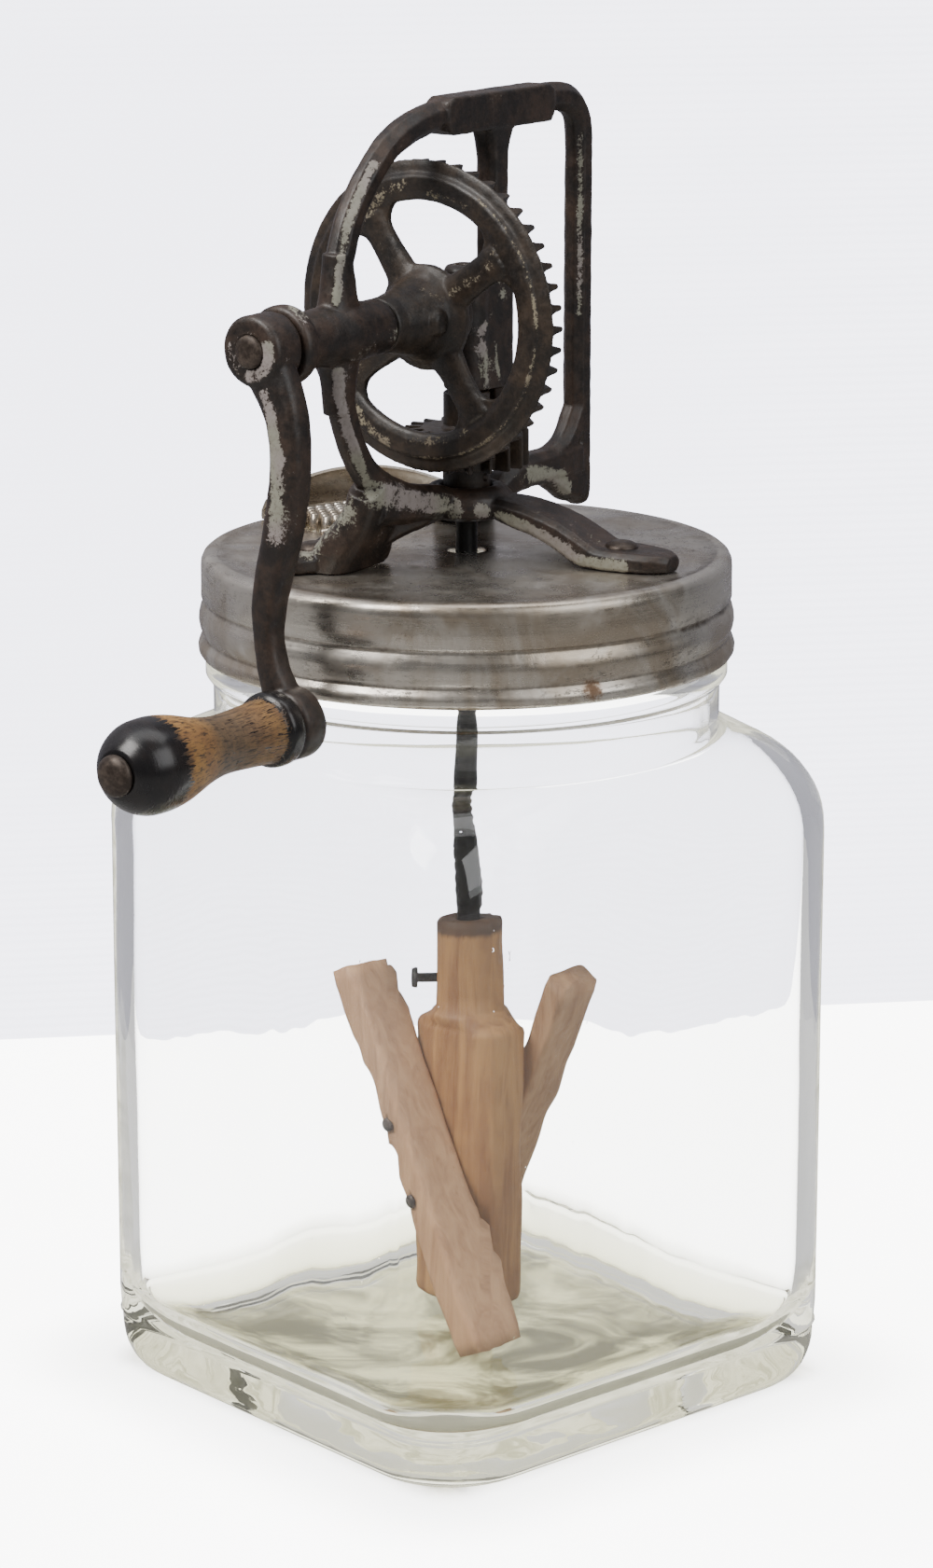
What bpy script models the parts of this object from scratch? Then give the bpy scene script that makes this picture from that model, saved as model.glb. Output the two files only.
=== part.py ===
"""Hand cranked butter churn: square glass jar, tin screw lid, cast iron gear frame, wooden dasher.

Units are metres and +Z is up. The origin is the centre of the jar's flat base. The crank points along -Y.
Most of the mechanism is drawn in the crank frame, whose axes are: right (+X), up (+Z) and out along
the crank (-Y).
"""

import math

import bmesh
import bpy
from mathutils import Matrix, Vector

MM = 0.001

# Clearances and resolution
FIT_GAP = 0.3 * MM          # between pieces that touch or slide
CUT_OVERRUN = 1.0 * MM      # how far a cutter passes its face
FINE = 48                   # sides of the large round pieces
MEDIUM = 32                 # sides of the hubs and bosses
SMALL = 16                  # sides of pins and rivets

# Jar
JAR_SIDE = 134.6 * MM
JAR_CORNER = 15.5 * MM
JAR_WALL = 4.0 * MM
JAR_FLOOR = 8.0 * MM
JAR_TURN = math.radians(-11.4)
JAR_CORNER_STEPS = 6
HEEL_HEIGHT = 14.0 * MM
HEEL_INSET = 4.0 * MM
HEEL_CORNER = 26.0 * MM
SHOULDER_HEIGHT = 24.0 * MM
SHOULDER_STEP = 4.8 * MM     # from the flat sides in to the neck
NECK_HEIGHT = 43.4 * MM      # from the shoulder up to the rim
NECK_RING_RISE = 1.5 * MM
NECK_RING_HEIGHT = 5.0 * MM
NECK_RING_DROP = 1.2 * MM
MOUTH_LIP = 1.2 * MM
HEEL_INNER_CORNER = 10.0 * MM

# Lid
LID_SHEET = 0.8 * MM
LID_PLAY = 1.0 * MM          # between the neck and the lid's grooves
LID_EDGE = 2.4 * MM
LID_SKIRT = 25.0 * MM
LID_BAND = 10.5 * MM
LID_GROOVE_DEPTH = 0.7 * MM
LID_BEAD_RISE = 0.8 * MM
ROD_HOLE_RADIUS = 4.35 * MM
LIFT_GAP = 0.3 * MM

# Pouring strainer in the lid
POUR_ANGLE = math.radians(167.0)
STRAINER_WIDTH = 36.0 * MM
STRAINER_LENGTH = 20.6 * MM
STRAINER_SHEET = 0.8 * MM
STRAINER_LIP = 1.6 * MM
STRAINER_RISE = 1.2 * MM
WINDOW_MARGIN = 2.6 * MM
HOLE_RADIUS = 0.95 * MM
HOLE_PITCH = 2.9 * MM
HOLE_SIDES = 6
HOOD_ANGLE = math.radians(157.0)
HOOD_HALF_SPAN = math.radians(25.0)
HOOD_INSET = 1.6 * MM        # from the lid's edge
HOOD_HEIGHT = 11.0 * MM
HOOD_SHEET = 0.9 * MM
HOOD_FOOT = 4.2 * MM
HOOD_LEAN = 2.6 * MM
HOOD_STEPS = 14
HOOD_END_SHARE = 0.5

# Shaft
SHAFT_RADIUS = 3.97 * MM
SHAFT_INSET = 0.4 * MM       # of its end in the wheel's hub
SHAFT_RIVET_RISE = 1.0 * MM

# Gears
WHEEL_TEETH = 46
PINION_TEETH = 18
WHEEL_PITCH_RADIUS = 36.0 * MM
WHEEL_ADDENDUM_SHARE = 1.3   # of the module
PINION_ADDENDUM_SHARE = 0.75
TOOTH_CLEARANCE = 0.4 * MM   # between a tip and the other gear's root
TOOTH_SHARE = 0.28           # tooth thickness as a share of the pitch
FLANK_ANGLE = math.radians(12.0)
WHEEL_FACE_OUT = 1.3 * MM    # tooth length outside the pitch circle
WHEEL_FACE_IN = 3.2 * MM     # tooth length inside it
PINION_FACE_LOW = 0.7 * MM   # pinion teeth below the wheel's
PINION_FACE_HIGH = 3.3 * MM  # pinion teeth above them

# Drive wheel
WHEEL_RIM_OVERHANG = 1.9 * MM
WHEEL_RIM_MARGIN = 4.8 * MM  # inside the teeth's inner ends
WHEEL_WEB = 2.6 * MM
WHEEL_RIM_CROWN = 3.0 * MM
WHEEL_HUB_RADIUS = 8.6 * MM
WHEEL_HUB_FLARE = 11.0 * MM
WHEEL_HUB_FRONT = 34.9 * MM
WHEEL_HUB_NOSE = 6.9 * MM     # radius at its front
WHEEL_BACK_GAP = 2.7 * MM    # to the rod's bearing
SPOKE_COUNT = 4
SPOKE_WIDTH = 8.4 * MM
SPOKE_TURN = math.radians(35.0)
OPENING_ROUND = 4.0 * MM
OPENING_MARGIN = 1.2 * MM    # from the hub's flare
OPENING_CORNER_STEPS = 4
OPENING_RIM_STEPS = 4
WHEEL_PIN_RADIUS = 1.3 * MM
WHEEL_PIN_PLACE = 22.6 * MM

# Pinion and vertical rod
ROD_RADIUS = 2.75 * MM
ROD_TOP = 9.6 * MM          # above the crank line
PINION_HUB_RADIUS = 5.7 * MM
PINION_HUB_TOP = 9.5 * MM   # length of the hub above the teeth
PINION_TAIL = 5.74 * MM     # length of the hub below them
PINION_PIN_RADIUS = 1.1 * MM
WASHER_RADIUS = 6.2 * MM
WASHER_THICK = 0.8 * MM

# Gear frame casting
BAR_WIDTH = 6.0 * MM
BAR_DEPTH = 6.6 * MM
BAR_CHAMFER = 1.7 * MM
WHEEL_HEADROOM = 7.1 * MM   # over the wheel's rim
LEG_OUT = 49.6 * MM         # crank side leg, from the rod
LEG_BACK = 45.9 * MM        # far leg, from the rod
TOP_CORNER = 6.6 * MM
BACK_LEG_END = 54.8 * MM    # below the crank line
PANEL_LENGTH = 42.0 * MM
PANEL_START = 11.0 * MM
PANEL_WIDTH = 7.8 * MM
PANEL_DEPTH = 9.0 * MM
PANEL_RISE = 0.5 * MM
# Shares of LEG_OUT from the rod, then of the hub's depth below and the bar's height above the crank line
LOWER_LEG_SHARES = [
    (0.16, 1.055), (0.40, 0.985), (0.62, 0.90), (0.78, 0.80), (0.89, 0.65), (0.955, 0.49), (0.995, 0.31),
]
UPPER_LEG_SHARES = [
    (1.0, 0.0), (1.0, 0.28), (0.975, 0.40), (0.915, 0.55), (0.825, 0.69), (0.725, 0.80), (0.60, 0.89),
    (0.45, 0.96), (0.26, 0.995), (0.0, 1.0),
]
COLUMN_DEPTH = 7.2 * MM
COLUMN_PLACE = 10.4 * MM
COLUMN_FLARE = 5.0 * MM
BOSS_RADIUS = 5.5 * MM
BOSS_TOP = 10.6 * MM
BOSS_PLATE_WIDTH = 10.4 * MM
BOSS_PLATE_TOP = 7.6 * MM
CRANK_BOSS_RADIUS = 6.6 * MM
CRANK_BOSS_OUTER = 67.0 * MM
HUB_RADIUS = 12.0 * MM
HUB_THICK = 5.6 * MM
HUB_RISE = 8.8 * MM         # hub underside above the lid
FOOT_INSET = 15.0 * MM      # from the lid's edge
FOOT_WIDTH = 13.4 * MM
FOOT_THICK = 5.6 * MM
FOOT_TIP_THICK = 4.2 * MM
FOOT_ANGLES = [math.radians(-22.0), math.radians(98.0), math.radians(218.0)]
FOOT_NAMES = ["front", "side", "rear"]
RIVET_INSET = 7.4 * MM
RIVET_RADIUS = 1.8 * MM
RIVET_HEAD_RADIUS = 4.0 * MM
RIVET_HEAD_RISE = 1.5 * MM

# Crank
COLLAR_RADIUS = 9.4 * MM
COLLAR_THICK = 4.8 * MM
CRANK_HUB_RADIUS = 8.3 * MM
CRANK_HUB_THICK = 9.8 * MM
ARM_DROP = 87.0 * MM
ARM_SIDE = 7.6 * MM
ARM_THICK = 8.0 * MM
ARM_EYE_RADIUS = 8.7 * MM
ARM_EYE_THICK = 8.2 * MM
# Shares of ARM_DROP down the arm, then its side step and its width in the arm's own thickness
ARM_SHARES = [
    (0.03, 0.10, 1.30), (0.13, 0.80, 1.26), (0.22, 1.02, 1.12), (0.33, 1.00, 1.08), (0.42, 0.82, 1.06),
    (0.52, 0.56, 1.02), (0.62, 0.33, 0.94), (0.71, 0.20, 0.86), (0.80, 0.26, 0.80), (0.88, 0.55, 0.86),
    (0.97, 0.95, 1.00),
]

# Handle
GRIP_LENGTH = 56.6 * MM
GRIP_RADIUS = 11.1 * MM
GRIP_BORE_GAP = 0.3 * MM
SPINDLE_RADIUS = 2.4 * MM
SPINDLE_HEAD_RADIUS = 4.9 * MM
SPINDLE_HEAD_RISE = 2.4 * MM
# Shares of GRIP_LENGTH out along the grip, then of GRIP_RADIUS
GRIP_SHARES = [
    (0.0, 0.74), (0.018, 0.80), (0.075, 0.82), (0.10, 0.78), (0.115, 0.68), (0.20, 0.66), (0.36, 0.62),
    (0.48, 0.68), (0.60, 0.82), (0.70, 0.94), (0.79, 1.0), (0.87, 0.96), (0.94, 0.80), (0.985, 0.60),
    (1.0, 0.50),
]

# Dasher
DASHER_TURN = math.radians(262.0)
DASHER_TOP = 151.0 * MM     # below the crank line
DASHER_NECK = 25.5 * MM
DASHER_NECK_RADIUS = 7.5 * MM
DASHER_SHOULDER = 3.4 * MM
DASHER_BODY = 73.0 * MM
DASHER_BODY_WIDE = 25.6 * MM
DASHER_BODY_THICK = 15.0 * MM
DASHER_BODY_ROUND = 4.0 * MM
DASHER_SOCKET = 40.0 * MM
BLADE_LENGTH = 104.0 * MM
BLADE_THICK = 7.7 * MM
BLADE_DEPTH = 15.0 * MM
BLADE_TILT = math.radians(26.0)
BLADE_CHAMFER = 0.9 * MM
BLADE_DROP = 61.0 * MM      # its middle below the hub's top
DASHER_FLOOR_GAP = 3.07 * MM
NAIL_RADIUS = 0.9 * MM
NAIL_HEAD_RADIUS = 1.8 * MM
NAIL_HEAD_THICK = 0.7 * MM
NAIL_STEP = 10.0 * MM
NAIL_BITE = 4.4 * MM
SCREW_RADIUS = 1.2 * MM
SCREW_HEAD_RADIUS = 2.7 * MM
SCREW_HEAD_THICK = 1.3 * MM
SCREW_LENGTH = 8.6 * MM
SCREW_DROP = 17.0 * MM
SCREW_BLADE_GAP = 1.1 * MM

# Sizes worked out from the ones above
PINION_PITCH_RADIUS = WHEEL_PITCH_RADIUS * PINION_TEETH / WHEEL_TEETH
MODULE = 2.0 * WHEEL_PITCH_RADIUS / WHEEL_TEETH
WHEEL_TEETH_OUTER = WHEEL_PITCH_RADIUS + WHEEL_FACE_OUT
WHEEL_TEETH_INNER = WHEEL_PITCH_RADIUS - WHEEL_FACE_IN
PINION_TIP_RADIUS = PINION_PITCH_RADIUS + PINION_ADDENDUM_SHARE * MODULE
WHEEL_ROOT_PLANE = PINION_TIP_RADIUS + TOOTH_CLEARANCE
WHEEL_TIP_PLANE = PINION_PITCH_RADIUS - WHEEL_ADDENDUM_SHARE * MODULE
PINION_ROOT_RADIUS = WHEEL_TIP_PLANE - TOOTH_CLEARANCE
PINION_TEETH_LOW = -WHEEL_TEETH_OUTER - PINION_FACE_LOW
PINION_TEETH_HIGH = -WHEEL_TEETH_INNER + PINION_FACE_HIGH
PINION_LOW = PINION_TEETH_LOW - PINION_TAIL
HUB_TOP = PINION_LOW - WASHER_THICK - 2 * FIT_GAP
HUB_BOTTOM = HUB_TOP - HUB_THICK
LID_DROP = HUB_RISE - HUB_BOTTOM
BLADE_MIDDLE = DASHER_TOP + BLADE_DROP
BLADE_LOW = BLADE_MIDDLE + BLADE_LENGTH / 2 * math.cos(BLADE_TILT) + BLADE_THICK / 2 * math.sin(BLADE_TILT)
DASHER_HUB_LOW = DASHER_TOP + DASHER_NECK + DASHER_SHOULDER + DASHER_BODY
CRANK_HEIGHT = JAR_FLOOR + DASHER_FLOOR_GAP + max(BLADE_LOW, DASHER_HUB_LOW)
LID_TOP = CRANK_HEIGHT - LID_DROP
JAR_RIM = LID_TOP - LID_SHEET - LIFT_GAP
SHOULDER_START = JAR_RIM - NECK_HEIGHT - SHOULDER_HEIGHT
NECK_RADIUS = JAR_SIDE / 2 - SHOULDER_STEP
LID_RADIUS = NECK_RADIUS + LID_PLAY + LID_SHEET + LID_GROOVE_DEPTH
HOOD_RADIUS = LID_RADIUS - HOOD_INSET
STRAINER_CORNER = HOOD_RADIUS - HOOD_SHEET - HOOD_FOOT - FIT_GAP
STRAINER_OUTER = math.sqrt(STRAINER_CORNER ** 2 - (STRAINER_WIDTH / 2) ** 2)
STRAINER_INNER = STRAINER_OUTER - STRAINER_LENGTH
FOOT_REACH = LID_RADIUS - FOOT_INSET
RIVET_PLACE = FOOT_REACH - RIVET_INSET
WHEEL_RIM_RADIUS = WHEEL_PITCH_RADIUS + WHEEL_RIM_OVERHANG
WHEEL_RIM_INNER = WHEEL_TEETH_INNER - WHEEL_RIM_MARGIN
WHEEL_HUB_BACK = BOSS_RADIUS + WHEEL_BACK_GAP
SHAFT_INNER = WHEEL_HUB_BACK + SHAFT_INSET
FRAME_TOP = WHEEL_RIM_RADIUS + WHEEL_HEADROOM + BAR_DEPTH
CRANK_BOSS_INNER = WHEEL_HUB_FRONT + FIT_GAP
COLLAR_INNER = CRANK_BOSS_OUTER + FIT_GAP
CRANK_HUB_INNER = COLLAR_INNER + COLLAR_THICK + FIT_GAP
CRANK_HUB_OUTER = CRANK_HUB_INNER + CRANK_HUB_THICK
GRIP_INNER = CRANK_HUB_OUTER + FIT_GAP
SHAFT_BORE = SHAFT_RADIUS + FIT_GAP
ROD_BORE = ROD_RADIUS + FIT_GAP


def make_material(name, color, roughness, metallic, alpha=1.0):
    """A plain Principled finish for one kind of piece."""
    material = bpy.data.materials.new(name)
    material.use_nodes = True
    shader = material.node_tree.nodes["Principled BSDF"]
    shader.inputs["Base Color"].default_value = (*color, 1.0)
    shader.inputs["Roughness"].default_value = roughness
    shader.inputs["Metallic"].default_value = metallic
    shader.inputs["Alpha"].default_value = alpha
    material.diffuse_color = (*color, alpha)
    return material


def make_object(name, mesh, material, parent=None, location=(0, 0, 0), rotation=(0, 0, 0), smooth=True):
    """Put a mesh into the scene under its parent."""
    piece = bpy.data.objects.new(name, mesh)
    bpy.context.scene.collection.objects.link(piece)
    mesh.materials.clear()
    mesh.materials.append(material)
    piece.parent = parent
    piece.location = location
    piece.rotation_euler = rotation
    if smooth:
        mesh.shade_smooth()
        mesh.set_sharp_from_angle(angle=math.radians(35.0))
    return piece


def make_empty(name, location, rotation=(0, 0, 0), parent=None):
    """A joint's own frame."""
    empty = bpy.data.objects.new(name, None)
    bpy.context.scene.collection.objects.link(empty)
    empty.location = location
    empty.rotation_euler = rotation
    empty.parent = parent
    return empty


def mesh_from(bm, name):
    """Close a bmesh off as a mesh with its faces pointing out."""
    bmesh.ops.recalc_face_normals(bm, faces=bm.faces)
    mesh = bpy.data.meshes.new(name)
    bm.to_mesh(mesh)
    bm.free()
    return mesh


def join_rings(bm, low, high):
    """Faces between two rings; the longer one may have a whole multiple of the shorter one's count."""
    if len(low) < len(high):
        low, high = high, low
    group = len(low) // len(high)
    count = len(high)
    for i in range(count):
        outer = [low[(i * group + k) % len(low)] for k in range(group + 1)]
        inner = [high[(i + 1) % count], high[i]]
        bm.faces.new(outer + inner)


def loft(name, loops, closed=False):
    """A solid through a list of rings of points, capped at both ends unless the list closes on itself."""
    bm = bmesh.new()
    rings = [[bm.verts.new(p) for p in loop] for loop in loops]
    for low, high in zip(rings, rings[1:]):
        join_rings(bm, low, high)
    if closed:
        join_rings(bm, rings[-1], rings[0])
    else:
        bm.faces.new(rings[0])
        bm.faces.new(rings[-1])
    return mesh_from(bm, name)


def circle(radius, height, sides, turn=0.0):
    """Points of a circle about local Z."""
    step = 2.0 * math.pi / sides
    return [Vector((radius * math.cos(turn + i * step), radius * math.sin(turn + i * step), height))
            for i in range(sides)]


def turned(name, profile, sides, closed=False):
    """A turned piece about local Z from (radius, height) pairs."""
    return loft(name, [circle(radius, height, sides) for radius, height in profile], closed)


def rounded_rectangle(width, depth, corner, steps):
    """Corner arcs of a rectangle about the origin, anticlockwise."""
    points = []
    for quarter in range(4):
        sign_x = 1 if quarter in (0, 3) else -1
        sign_y = 1 if quarter in (0, 1) else -1
        centre = Vector((sign_x * (width / 2 - corner), sign_y * (depth / 2 - corner)))
        for step in range(steps + 1):
            angle = (quarter + step / steps) * math.pi / 2
            points.append(centre + corner * Vector((math.cos(angle), math.sin(angle))))
    return points


def chamfered_section(width, depth, chamfer):
    """An eight sided bar section about the origin."""
    return rounded_rectangle(width, depth, chamfer, 1)


def smooth_route(points, per_span):
    """Points on a smooth curve through the given ones (Catmull-Rom)."""
    ends = [points[0] * 2 - points[1]] + points + [points[-1] * 2 - points[-2]]
    route = []
    for a, b, c, d in zip(ends, ends[1:], ends[2:], ends[3:]):
        for step in range(per_span):
            t = step / per_span
            route.append(((b * 2) + (c - a) * t + (a * 2 - b * 5 + c * 4 - d) * t * t
                          + (b * 3 - a - c * 3 + d) * t * t * t) / 2)
    route.append(points[-1])
    return route


def sweep(name, route, across, sections):
    """Sweep one section per point along a route; across is the section's fixed first axis."""
    loops = []
    for i, point in enumerate(route):
        ahead = route[min(i + 1, len(route) - 1)] - route[max(i - 1, 0)]
        side = ahead.cross(across).normalized()
        first = side.cross(ahead).normalized()
        loops.append([point + first * p.x + side * p.y for p in sections[i]])
    return loft(name, loops)


def add_tool(target, mesh, operation, parent, location=(0, 0, 0), rotation=(0, 0, 0)):
    """Join a hidden body to a piece, or cut it out, with an exact Boolean."""
    tool = make_object(f"{target.name}_tool_{len(target.modifiers)}", mesh, target.data.materials[0], parent,
                       location, rotation, smooth=False)
    tool.hide_render = True
    tool.display_type = "WIRE"
    modifier = target.modifiers.new(f"{operation.lower()}_{len(target.modifiers)}", "BOOLEAN")
    modifier.operation = operation
    modifier.solver = "EXACT"
    modifier.object = tool
    return tool


def rod_mesh(name, radius, start, end, sides=SMALL):
    """A plain round bar along local Z."""
    return turned(name, [(radius, start), (radius, end)], sides)


def box_mesh(name, low, high, chamfer=0.0):
    """A box between two corners, its upright edges chamfered."""
    size = Vector(high) - Vector(low)
    middle = (Vector(high) + Vector(low)) / 2
    corners = ((1, -1), (1, 1), (-1, 1), (-1, -1))
    outline = (chamfered_section(size.x, size.y, chamfer) if chamfer
               else [Vector((sx * size.x / 2, sy * size.y / 2)) for sx, sy in corners])
    loops = [[Vector((middle.x + p.x, middle.y + p.y, z)) for p in outline] for z in (low[2], high[2])]
    return loft(name, loops)


def crank_point(out, side, up):
    """A place given along the crank, to the right and above the crank line, in the crank frame."""
    return Vector((side, up, out))


def ground_point(out, side, up):
    """The same place in an upright frame at the rod: x right, y away from the crank, z up."""
    return Vector((side, -out, up))


# Frames and finishes

for old in list(bpy.data.objects):
    bpy.data.objects.remove(old, do_unlink=True)

GLASS = make_material("jar_glass", (0.86, 0.90, 0.88), 0.05, 0.0, 0.25)
TIN = make_material("lid_tin", (0.50, 0.47, 0.42), 0.38, 0.9)
IRON = make_material("frame_iron", (0.060, 0.048, 0.042), 0.55, 0.35)
GEAR_IRON = make_material("gear_iron", (0.050, 0.042, 0.036), 0.5, 0.4)
STEEL = make_material("pin_steel", (0.16, 0.14, 0.12), 0.45, 0.8)
ROD_STEEL = make_material("rod_steel", (0.05, 0.048, 0.045), 0.5, 0.6)
GRIP_WOOD = make_material("grip_wood", (0.30, 0.18, 0.08), 0.55, 0.0)
HUB_WOOD = make_material("dasher_hub_wood", (0.52, 0.33, 0.17), 0.6, 0.0)
BLADE_WOOD = make_material("dasher_blade_wood", (0.60, 0.41, 0.28), 0.65, 0.0)

lid_frame = make_empty("lid_lift_frame", (0, 0, LID_TOP))
rod_frame = make_empty("rod_spin_frame", (0, 0, LID_DROP), parent=lid_frame)
crank_frame = make_empty("crank_spin_frame", (0, 0, LID_DROP), (math.pi / 2, 0, 0), lid_frame)
jar_frame = make_empty("jar_frame", (0, 0, 0), (0, 0, JAR_TURN))


# Jar

def jar_ring(side, corner, height, radius=None):
    """A ring of the jar: a rounded square, or a circle with the same point order when radius is given."""
    square = rounded_rectangle(side, side, corner, JAR_CORNER_STEPS)
    if radius is None:
        return [Vector((p.x, p.y, height)) for p in square]
    count = len(square)
    step = 2.0 * math.pi / count
    start = (count / 8 - JAR_CORNER_STEPS / 2) * step
    return circle(radius, height, count, start)


def blend_rings(low, high, share, rise):
    """A ring between two others, at its own height."""
    return [Vector((a.x + (b.x - a.x) * share, a.y + (b.y - a.y) * share, rise)) for a, b in zip(low, high)]


def shoulder_rings(side, corner, neck, start, height, steps):
    """The rounded shoulder: a quarter wave from the square body in to the round neck."""
    body = jar_ring(side, corner, start)
    collar = jar_ring(side, corner, start, neck)
    rings = []
    for step in range(1, steps + 1):
        angle = step / steps * math.pi / 2
        rings.append(blend_rings(body, collar, 1.0 - math.cos(angle), start + height * math.sin(angle)))
    return rings


def build_jar():
    """The blown glass jar: flat base, heel, square body, shoulder, neck with its ring, and an open mouth."""
    ring_low = LID_TOP - LID_SKIRT - NECK_RING_DROP - NECK_RING_HEIGHT
    inner_side = JAR_SIDE - 2 * JAR_WALL
    inner_corner = JAR_CORNER - JAR_WALL
    inner_neck = NECK_RADIUS - JAR_WALL
    base_side = JAR_SIDE - 2 * HEEL_INSET
    floor_side = inner_side - 2 * HEEL_INSET
    outer = [
        jar_ring(base_side, HEEL_CORNER - HEEL_INSET, 0),
        jar_ring(JAR_SIDE - HEEL_INSET * 0.7, HEEL_CORNER, HEEL_HEIGHT * 0.18),
        jar_ring(JAR_SIDE - HEEL_INSET * 0.2, (HEEL_CORNER + JAR_CORNER) / 2, HEEL_HEIGHT * 0.5),
        jar_ring(JAR_SIDE, JAR_CORNER, HEEL_HEIGHT),
        jar_ring(JAR_SIDE, JAR_CORNER, SHOULDER_START),
    ]
    outer += shoulder_rings(JAR_SIDE, JAR_CORNER, NECK_RADIUS, SHOULDER_START, SHOULDER_HEIGHT, 5)
    for radius, height in (
        (NECK_RADIUS, ring_low),
        (NECK_RADIUS + NECK_RING_RISE, ring_low + NECK_RING_HEIGHT * 0.3),
        (NECK_RADIUS + NECK_RING_RISE, ring_low + NECK_RING_HEIGHT * 0.7),
        (NECK_RADIUS, ring_low + NECK_RING_HEIGHT),
        (NECK_RADIUS, JAR_RIM - MOUTH_LIP),
        (NECK_RADIUS - MOUTH_LIP, JAR_RIM),
    ):
        outer.append(jar_ring(JAR_SIDE, JAR_CORNER, height, radius))
    inner = [
        jar_ring(JAR_SIDE, JAR_CORNER, JAR_RIM, inner_neck + MOUTH_LIP / 2),
        jar_ring(JAR_SIDE, JAR_CORNER, JAR_RIM - MOUTH_LIP, inner_neck),
    ]
    inner_start = SHOULDER_START - JAR_WALL / 2
    inner += reversed(shoulder_rings(inner_side, inner_corner, inner_neck, inner_start,
                                     SHOULDER_HEIGHT - JAR_WALL / 2, 5))
    inner += [
        jar_ring(inner_side, inner_corner, inner_start),
        jar_ring(inner_side, inner_corner, JAR_FLOOR + HEEL_INNER_CORNER),
        jar_ring(inner_side - HEEL_INSET / 2, inner_corner + HEEL_INSET, JAR_FLOOR + HEEL_INNER_CORNER * 0.3),
        jar_ring(floor_side, inner_corner + HEEL_INSET, JAR_FLOOR),
    ]
    return make_object("jar", loft("jar", outer + inner), GLASS, jar_frame)


# Lid, strainer and hood

def lid_profile():
    """Outside of the pressed tin lid from its middle to its hem, as (radius, height from the lid's top)."""
    groove = LID_RADIUS - LID_GROOVE_DEPTH
    bead = LID_RADIUS + LID_BEAD_RISE
    ribs = LID_SKIRT - LID_BAND
    return [
        (ROD_HOLE_RADIUS, 0),
        (LID_RADIUS - LID_EDGE, 0),
        (LID_RADIUS - LID_EDGE * 0.29, -LID_EDGE * 0.29),
        (LID_RADIUS, -LID_EDGE),
        (LID_RADIUS, -LID_BAND),
        (groove, -LID_BAND - ribs * 0.07),
        (bead, -LID_BAND - ribs * 0.3),
        (groove, -LID_BAND - ribs * 0.55),
        (bead, -LID_BAND - ribs * 0.8),
        (groove, -LID_SKIRT),
    ]


def upright_slab(name, angle, half_width, near, far, bottom, top):
    """A slab on a radius of the lid, given by its half width and its distances from the rod."""
    outline = [Vector((near, -half_width)), Vector((far, -half_width)), Vector((far, half_width)),
               Vector((near, half_width))]
    turn = Matrix.Rotation(angle, 2)
    return loft(name, [[(*(turn @ p), z) for p in outline] for z in (bottom, top)])


def build_lid():
    """The screw lid with its rod hole, strainer window and rivet holes."""
    outside = lid_profile()
    inside = [(radius - LID_SHEET, height) for radius, height in reversed(outside[3:])]
    inside += [(LID_RADIUS - LID_EDGE, -LID_SHEET), (ROD_HOLE_RADIUS, -LID_SHEET)]
    lid = make_object("lid_shell", turned("lid_shell", outside + inside, FINE, closed=True), TIN, lid_frame)
    window = upright_slab("window", POUR_ANGLE, STRAINER_WIDTH / 2 - WINDOW_MARGIN,
                          STRAINER_INNER + WINDOW_MARGIN, STRAINER_OUTER - WINDOW_MARGIN,
                          -LID_SHEET - CUT_OVERRUN, CUT_OVERRUN)
    add_tool(lid, window, "DIFFERENCE", lid_frame)
    for angle in FOOT_ANGLES:
        hole = rod_mesh("rivet_hole", RIVET_RADIUS + FIT_GAP, -LID_SHEET - CUT_OVERRUN, CUT_OVERRUN)
        place = ground_point(RIVET_PLACE * math.cos(angle), RIVET_PLACE * math.sin(angle), 0)
        add_tool(lid, hole, "DIFFERENCE", lid_frame, place)
    return lid


def strainer_holes():
    """Centres of the strainer's staggered holes, as (out along the radius, across it)."""
    near = STRAINER_INNER + WINDOW_MARGIN + HOLE_PITCH / 2
    far = STRAINER_OUTER - WINDOW_MARGIN - HOLE_PITCH / 2
    reach = STRAINER_WIDTH / 2 - WINDOW_MARGIN - HOLE_PITCH / 2
    rows = int((far - near) / (HOLE_PITCH * math.sqrt(3) / 2)) + 1
    columns = int(reach / HOLE_PITCH)
    places = []
    for row in range(rows):
        offset = HOLE_PITCH / 2 if row % 2 else 0
        for column in range(-columns, columns + 1 - row % 2):
            places.append((near + row * HOLE_PITCH * math.sqrt(3) / 2, column * HOLE_PITCH + offset))
    return places


def build_strainer():
    """The perforated pouring strainer, a tin tray set over the lid's window."""
    bottom = FIT_GAP
    plate = upright_slab("vent_strainer", POUR_ANGLE, STRAINER_WIDTH / 2, STRAINER_INNER, STRAINER_OUTER,
                         bottom, bottom + STRAINER_SHEET)
    strainer = make_object("vent_strainer", plate, TIN, lid_frame, smooth=False)
    bm = bmesh.new()
    turn = Matrix.Rotation(POUR_ANGLE, 2)
    for out, across in strainer_holes():
        middle = (turn @ Vector((out, across))).to_3d()
        rings = [[bm.verts.new(middle + p) for p in circle(HOLE_RADIUS, z, HOLE_SIDES)]
                 for z in (bottom - CUT_OVERRUN, bottom + STRAINER_SHEET + CUT_OVERRUN)]
        join_rings(bm, *rings)
        bm.faces.new(rings[0])
        bm.faces.new(rings[1])
    add_tool(strainer, mesh_from(bm, "strainer_holes"), "DIFFERENCE", lid_frame)
    return strainer


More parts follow.
